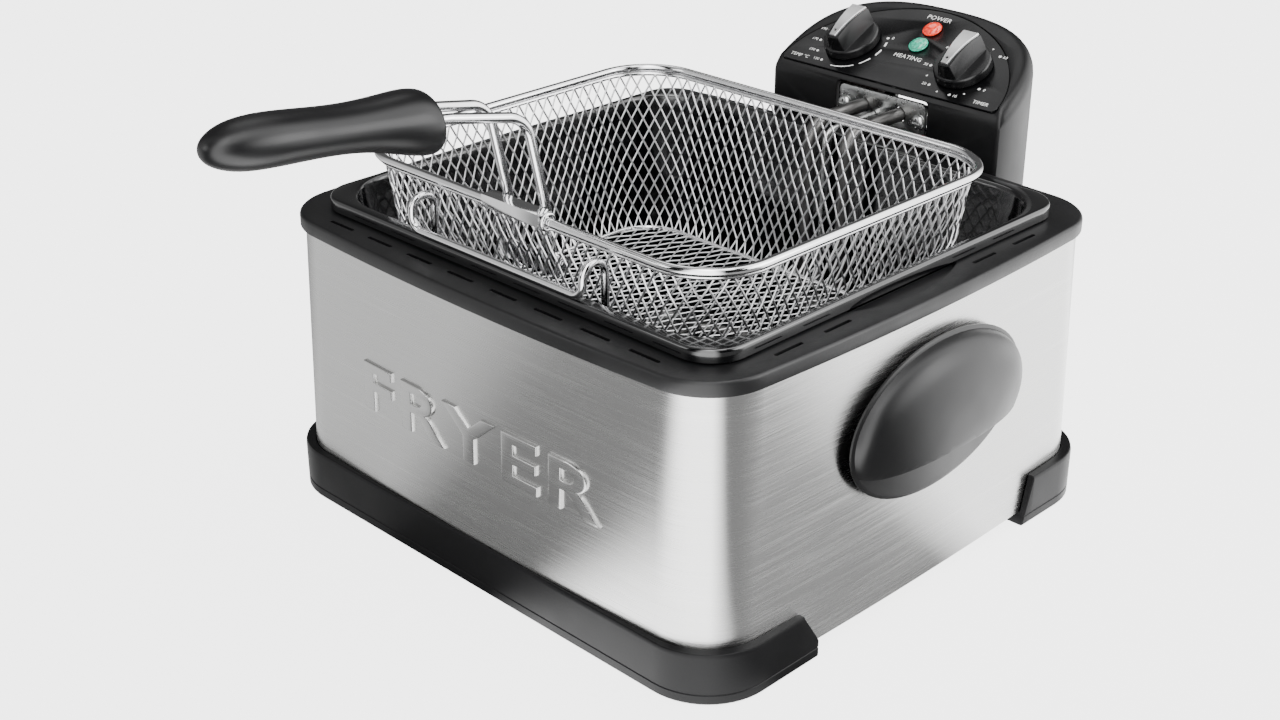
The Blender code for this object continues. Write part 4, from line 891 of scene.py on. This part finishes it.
def make_heater_front():
    """The pressed steel plate that the element comes through, and its two screws."""
    face = HEAD_FRONT + 0.8
    plate = box_shape("pressed_heater_plate", (-26.5, face, 141.8), (26.5, face + 2.0, 162.6))
    active(plate)
    bpy.ops.object.mode_set(mode="EDIT")
    mesh = bmesh.from_edit_mesh(plate.data)
    bpy.ops.mesh.select_all(action="DESELECT")
    for edge in mesh.edges:
        along = (edge.verts[0].co - edge.verts[1].co).normalized()
        edge.select = abs(along.y) > 0.9
    bmesh.update_edit_mesh(plate.data)
    bpy.ops.mesh.bevel(offset=3.0 * MM, segments=6, affect="EDGES")
    bpy.ops.object.mode_set(mode="OBJECT")
    bores = [(-ELEMENT_X, ELEMENT_Z, 3.7), (ELEMENT_X, ELEMENT_Z, 3.7), (SENSOR_X, SENSOR_Z, 1.7)]
    bores += [(-SCREW_X, SCREW_Z, 1.9), (SCREW_X, SCREW_Z, 1.9)]
    for x, z, radius in bores:
        carve(plate, turned("bore", [(radius, -6), (radius, 12)], at(x, face, z), (0, 1, 0), 32))
    soften(plate, 0.35, 2, 40)
    settle(plate, BARE_STEEL, "head", "heater_plate", 35)
    profile = [(1.4, -5.0), (1.4, 0.3), (3.5, 0.3), (3.6, 0.7), (3.3, 1.4), (2.6, 2.0), (1.6, 2.3)]
    profile.append((0.5, 2.4))
    for side, name in ((-1, "left"), (1, "right")):
        x = side * SCREW_X
        screw = turned(f"plate_screw_{name}", profile, at(x, face, SCREW_Z), (0, -1, 0), 36)
        for wide, tall in ((2.3, 0.45), (0.45, 2.3)):
            low = (x - wide, face - 5, SCREW_Z - tall)
            high = (x + wide, face - 1.2, SCREW_Z + tall)
            carve(screw, box_shape("slot", low, high))
        settle(screw, BARE_STEEL, "head", f"heater_screw_{name}", 35)


def make_element():
    """The heating element's tube and the thin sensor tube beside it."""
    x, z, low, start, drop, near = ELEMENT_X, ELEMENT_Z, 37.0, HEAD_FRONT + 8.8, 96.0, -78.0
    points = [(-x, start, z), (-x, drop, z), (-x, drop, low), (-x - 12, drop - 8, low)]
    points += [(-62.0, drop - 22, low), (-62.0, near, low), (-26.0, near, low), (-26.0, 52.0, low)]
    points += [(-a, b, c) for a, b, c in reversed(points)]
    tube = wires("element_tube", [filleted(points, 11.0, 10)], 3.4, 6)
    settle(tube, ELEMENT, "head", "heating_element", 40)
    x, z, low = SENSOR_X, SENSOR_Z, 46.0
    points = [(x, start, z), (x, 99.0, z), (x, 99.0, low), (x, 60.0, low)]
    tube = wires("sensor_tube", [filleted(points, 7.0)], 1.4, 4)
    settle(tube, BARE_STEEL, "head", "temperature_sensor", 40)


# ---- basket


def basket_line(inset, radius=BASKET_RADIUS, steps=20, straight=3):
    """The basket in plan, inset from its rim."""
    half_x, front, rear = BASKET_X - inset, BASKET_FRONT + inset, BASKET_REAR - inset
    return rounded(half_x, front, rear, radius, steps=steps, straight=straight)


TOP_OUTLINE = basket_line(0.0, steps=10, straight=1)


def around(share, inset, z):
    """A place on the basket's wall: share of the way round, inset from the rim's line, at a height."""
    lengths = [(Vector(b) - Vector(a)).length for a, b in zip(TOP_OUTLINE, TOP_OUTLINE[1:] + TOP_OUTLINE[:1])]
    target = (share % 1.0) * sum(lengths)
    for i, length in enumerate(lengths):
        if target <= length:
            break
        target -= length
    a, b = TOP_OUTLINE[i], TOP_OUTLINE[(i + 1) % len(TOP_OUTLINE)]
    x, y = (p + (q - p) * target / lengths[i] for p, q in zip(a, b))
    middle, half_y = (BASKET_FRONT + BASKET_REAR) / 2, (BASKET_REAR - BASKET_FRONT) / 2
    return (x * (BASKET_X - inset) / BASKET_X, middle + (y - middle) * (half_y - inset) / half_y, z)


def wall_profile(depth):
    """(inset, z) at a depth measured down the wall, from under the rim to the turn into the floor."""
    z = RIM_Z - 2.6 - depth
    inset = 2.2 + (BASKET_TAPER - 0.6) * depth / 74.0
    turn = max(0.0, depth - 70.0) / 8.0
    return inset + 6.0 * turn**2, z


def basket_wire(piece, node=None, metal=CHROME):
    """A finished wire of the basket, standing for a node or none."""
    settle(piece, metal, "basket", node, 60)


def make_mesh():
    """The basket's woven wall: two families of diagonal wires that pass over and under each other."""
    count, rows, weave = 122, 7, 0.22
    routes = []
    for lean in (1, -1):
        for k in range(count):
            route = []
            for j in range(2 * rows + 1):
                inset, z = wall_profile(BASKET_DEEP * j / (2 * rows))
                lift = weave * lean * (1 if j % 2 else -1)
                route.append(at(*around((k + lean * j / 2) / count, inset + lift, z)))
            routes.append(route)
    basket_wire(wires("woven_wall", routes, 0.46, 1), "basket_mesh", MESH_WIRE)


def make_floor_mesh():
    """The basket's flat wire floor, in the same diamonds, cut to its outline."""
    inset, z = wall_profile(BASKET_DEEP)
    half_x, front, rear = BASKET_X - inset, BASKET_FRONT + inset, BASKET_REAR - inset
    outline = basket_line(inset, BASKET_RADIUS - 8, 8, 1)
    pitch, slant = 6.2, 12.0 / 6.2
    routes = []
    for lean in (1, -1):
        reach = int((2 * half_x + (rear - front) / slant) / pitch / 2) + 2
        for k in range(-reach, reach + 1):
            start = Vector((k * pitch, (front + rear) / 2))
            way = Vector((lean / slant, 1.0)).normalized()
            crossings = []
            for a, b in zip(outline, outline[1:] + outline[:1]):
                edge = Vector(b) - Vector(a)
                cross = way.x * edge.y - way.y * edge.x
                if abs(cross) < 1e-9:
                    continue
                gap = Vector(a) - start
                along = (gap.x * edge.y - gap.y * edge.x) / cross
                share = (gap.x * way.y - gap.y * way.x) / cross
                if 0 <= share < 1:
                    crossings.append(along)
            if len(crossings) < 2:
                continue
            first, last = min(crossings), max(crossings)
            turns = max(2, int((last - first) / 6.5))
            route = []
            for i in range(turns + 1):
                spot = start + way * (first + (last - first) * i / turns)
                route.append(at(spot.x, spot.y, z + 0.25 * lean * (1 if i % 2 else -1)))
            routes.append(route)
    routes.append(level(outline + outline[:1], z))
    basket_wire(wires("woven_floor", routes, 0.4, 1), metal=MESH_WIRE)


def make_basket_wires():
    """The rim, the strengthening wires, the front hanger and the handle's bracket."""
    basket_wire(wires("rim_wire", [level(basket_line(0.0), RIM_Z)], 2.0, 5, closed=True), "basket_rim")
    basket_wire(wires("folded_edge", [level(basket_line(0.9), RIM_Z - 2.7)], 0.95, 4, closed=True))
    inset, z = wall_profile(BASKET_DEEP)
    foot = level(basket_line(inset - 0.4, 21.0, 16), z + 0.6)
    basket_wire(wires("floor_wire", [foot], 1.1, 4, closed=True))
    left = [(-52.5, -104.0, 140.0), (-52.5, -104.0, 161.8), (-52.5, -116.2, 161.8), (-52.5, -116.2, 148.5)]
    right = [(-x, y, z) for x, y, z in reversed(left)]
    basket_wire(wires("hanger_wire", [filleted(left + right, 6.0, 10)], 1.75, 5), "basket_hanger")
    refined("handle_bracket", "basket", CHROME, 0.25, 40)
    ring = [at(19.6, BASKET_FRONT + y, RIM_Z + z) for y, z in ellipse(3.3, 3.3, 24)]
    basket_wire(wires("keeper_ring", [ring], 0.9, 4, closed=True))


def handle_route():
    """The handle wire: in at the left pivot, up and out into the grip, and back to the right pivot."""
    y, z, half = PIVOT_Y, PIVOT_Z, HANDLE_HALF
    left = [(-half - 8.5, y, z), (-half, y, z), (-half, y - 1.8, 166.0), (-half, -106.8, 210.4)]
    left += [(-9.6, -143.0, 217.8), (-7.5, -165.0, 220.2), (-7.5, -200.0, 223.0)]
    right = [(-a, b, c) for a, b, c in reversed(left)]
    return filleted(left + right, 14.0, 12)


def make_handle():
    """The bent handle wire and the moulded grip, swollen at its heel and waisted before its round nose."""
    wire = wires("bent_handle_wire", [handle_route()], 2.2, 6)
    settle(wire, CHROME, "handle", "handle_wire", 60)
    # Each station of the grip: y and z of its middle, then its half width and half height.
    stations = ((-147.6, 215.4, 12.2, 10.7), (-147.7, 215.4, 12.8, 11.3), (-148.4, 215.6, 14.0, 12.4))
    stations += ((-150.4, 216.1, 14.8, 13.1), (-155.5, 217.1, 14.9, 13.1), (-163.0, 218.3, 14.3, 12.0))
    stations += ((-175.0, 220.4, 12.8, 9.9), (-190.0, 222.4, 12.0, 9.0), (-206.0, 224.4, 12.4, 9.6))
    stations += ((-222.0, 226.0, 12.8, 10.2), (-234.0, 226.6, 11.4, 9.2), (-241.5, 226.8, 8.0, 6.4))
    stations += ((-244.9, 226.9, 4.6, 3.7), (-245.9, 226.9, 1.6, 1.3))
    rings = []
    for y, z, wide, high in stations:
        rings.append([at(x, y, z + up) for x, up in ellipse(wide, high, 24)])
    grip = skin("moulded_grip", rings)
    slot = []
    channel = ((-132.0, 215.6, 13.1), (-143.0, 217.8, 12.4), (-165.0, 220.2, 10.3), (-203.2, 223.3, 10.3))
    for y, z, half in channel:
        slot.append([at(x, y, z + up) for x, up in ((-half, -2.5), (half, -2.5), (half, 2.5), (-half, 2.5))])
    active(grip)
    smoother = grip.modifiers.new("smoother", "SUBSURF")
    smoother.levels = smoother.render_levels = 2
    bpy.ops.object.modifier_apply(modifier=smoother.name)
    carve(grip, skin("slot", slot))
    settle(grip, GRIP_BLACK, "handle", "handle_grip", 50)


# ---- all of it

make_shell()
make_emboss()
make_top_frame()
make_base_bands()
make_side_handles()
make_tank()
make_head()
make_panel()
make_print()
make_knob(-1, "temp")
make_knob(1, "timer")
make_lenses()
make_heater_front()
make_element()
make_mesh()
make_floor_mesh()
make_basket_wires()
make_handle()

for foot in ("front_left", "front_right", "rear_left", "rear_right"):
    refined(f"rubber_foot_{foot}", "housing", RUBBER, 0.2, 40)
for node, body, look, slot in (
    ("bottom_plate", "housing", BASE_BLACK, "base_plastic"),
    ("rear_guide_plate", "housing", BASE_BLACK, "base_plastic"),
    ("head_rear_cover", "head", HEAD_BLACK, "head_plastic"),
    ("power_inlet", "head", BAKELITE, "bakelite"),
    ("inlet_pin_left", "head", BRASS, "brass"),
    ("inlet_pin_right", "head", BRASS, "brass"),
    # The reset button takes the red lens's material, so its faint glow is a painted glow.
    ("reset_button", "reset", RED_LAMP_AND_BUTTON_PAINTED_GLOW, "red_plastic"),
    ("sensor_clip", "head", BARE_STEEL, "brushed_steel"),
    ("plate_gasket", "head", RUBBER, "rubber"),
):
    refined(node, body, look, 0.2)
# What is inside the head keeps its own shape.
for node in ("thermostat", "lamp_holder", "terminal_block", "thermal_cutout", "interlock_switch"):
    paint(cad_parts[node], BAKELITE)
for node in ("timer", "temp_shaft", "timer_shaft"):
    paint(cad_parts[node], BARE_STEEL)
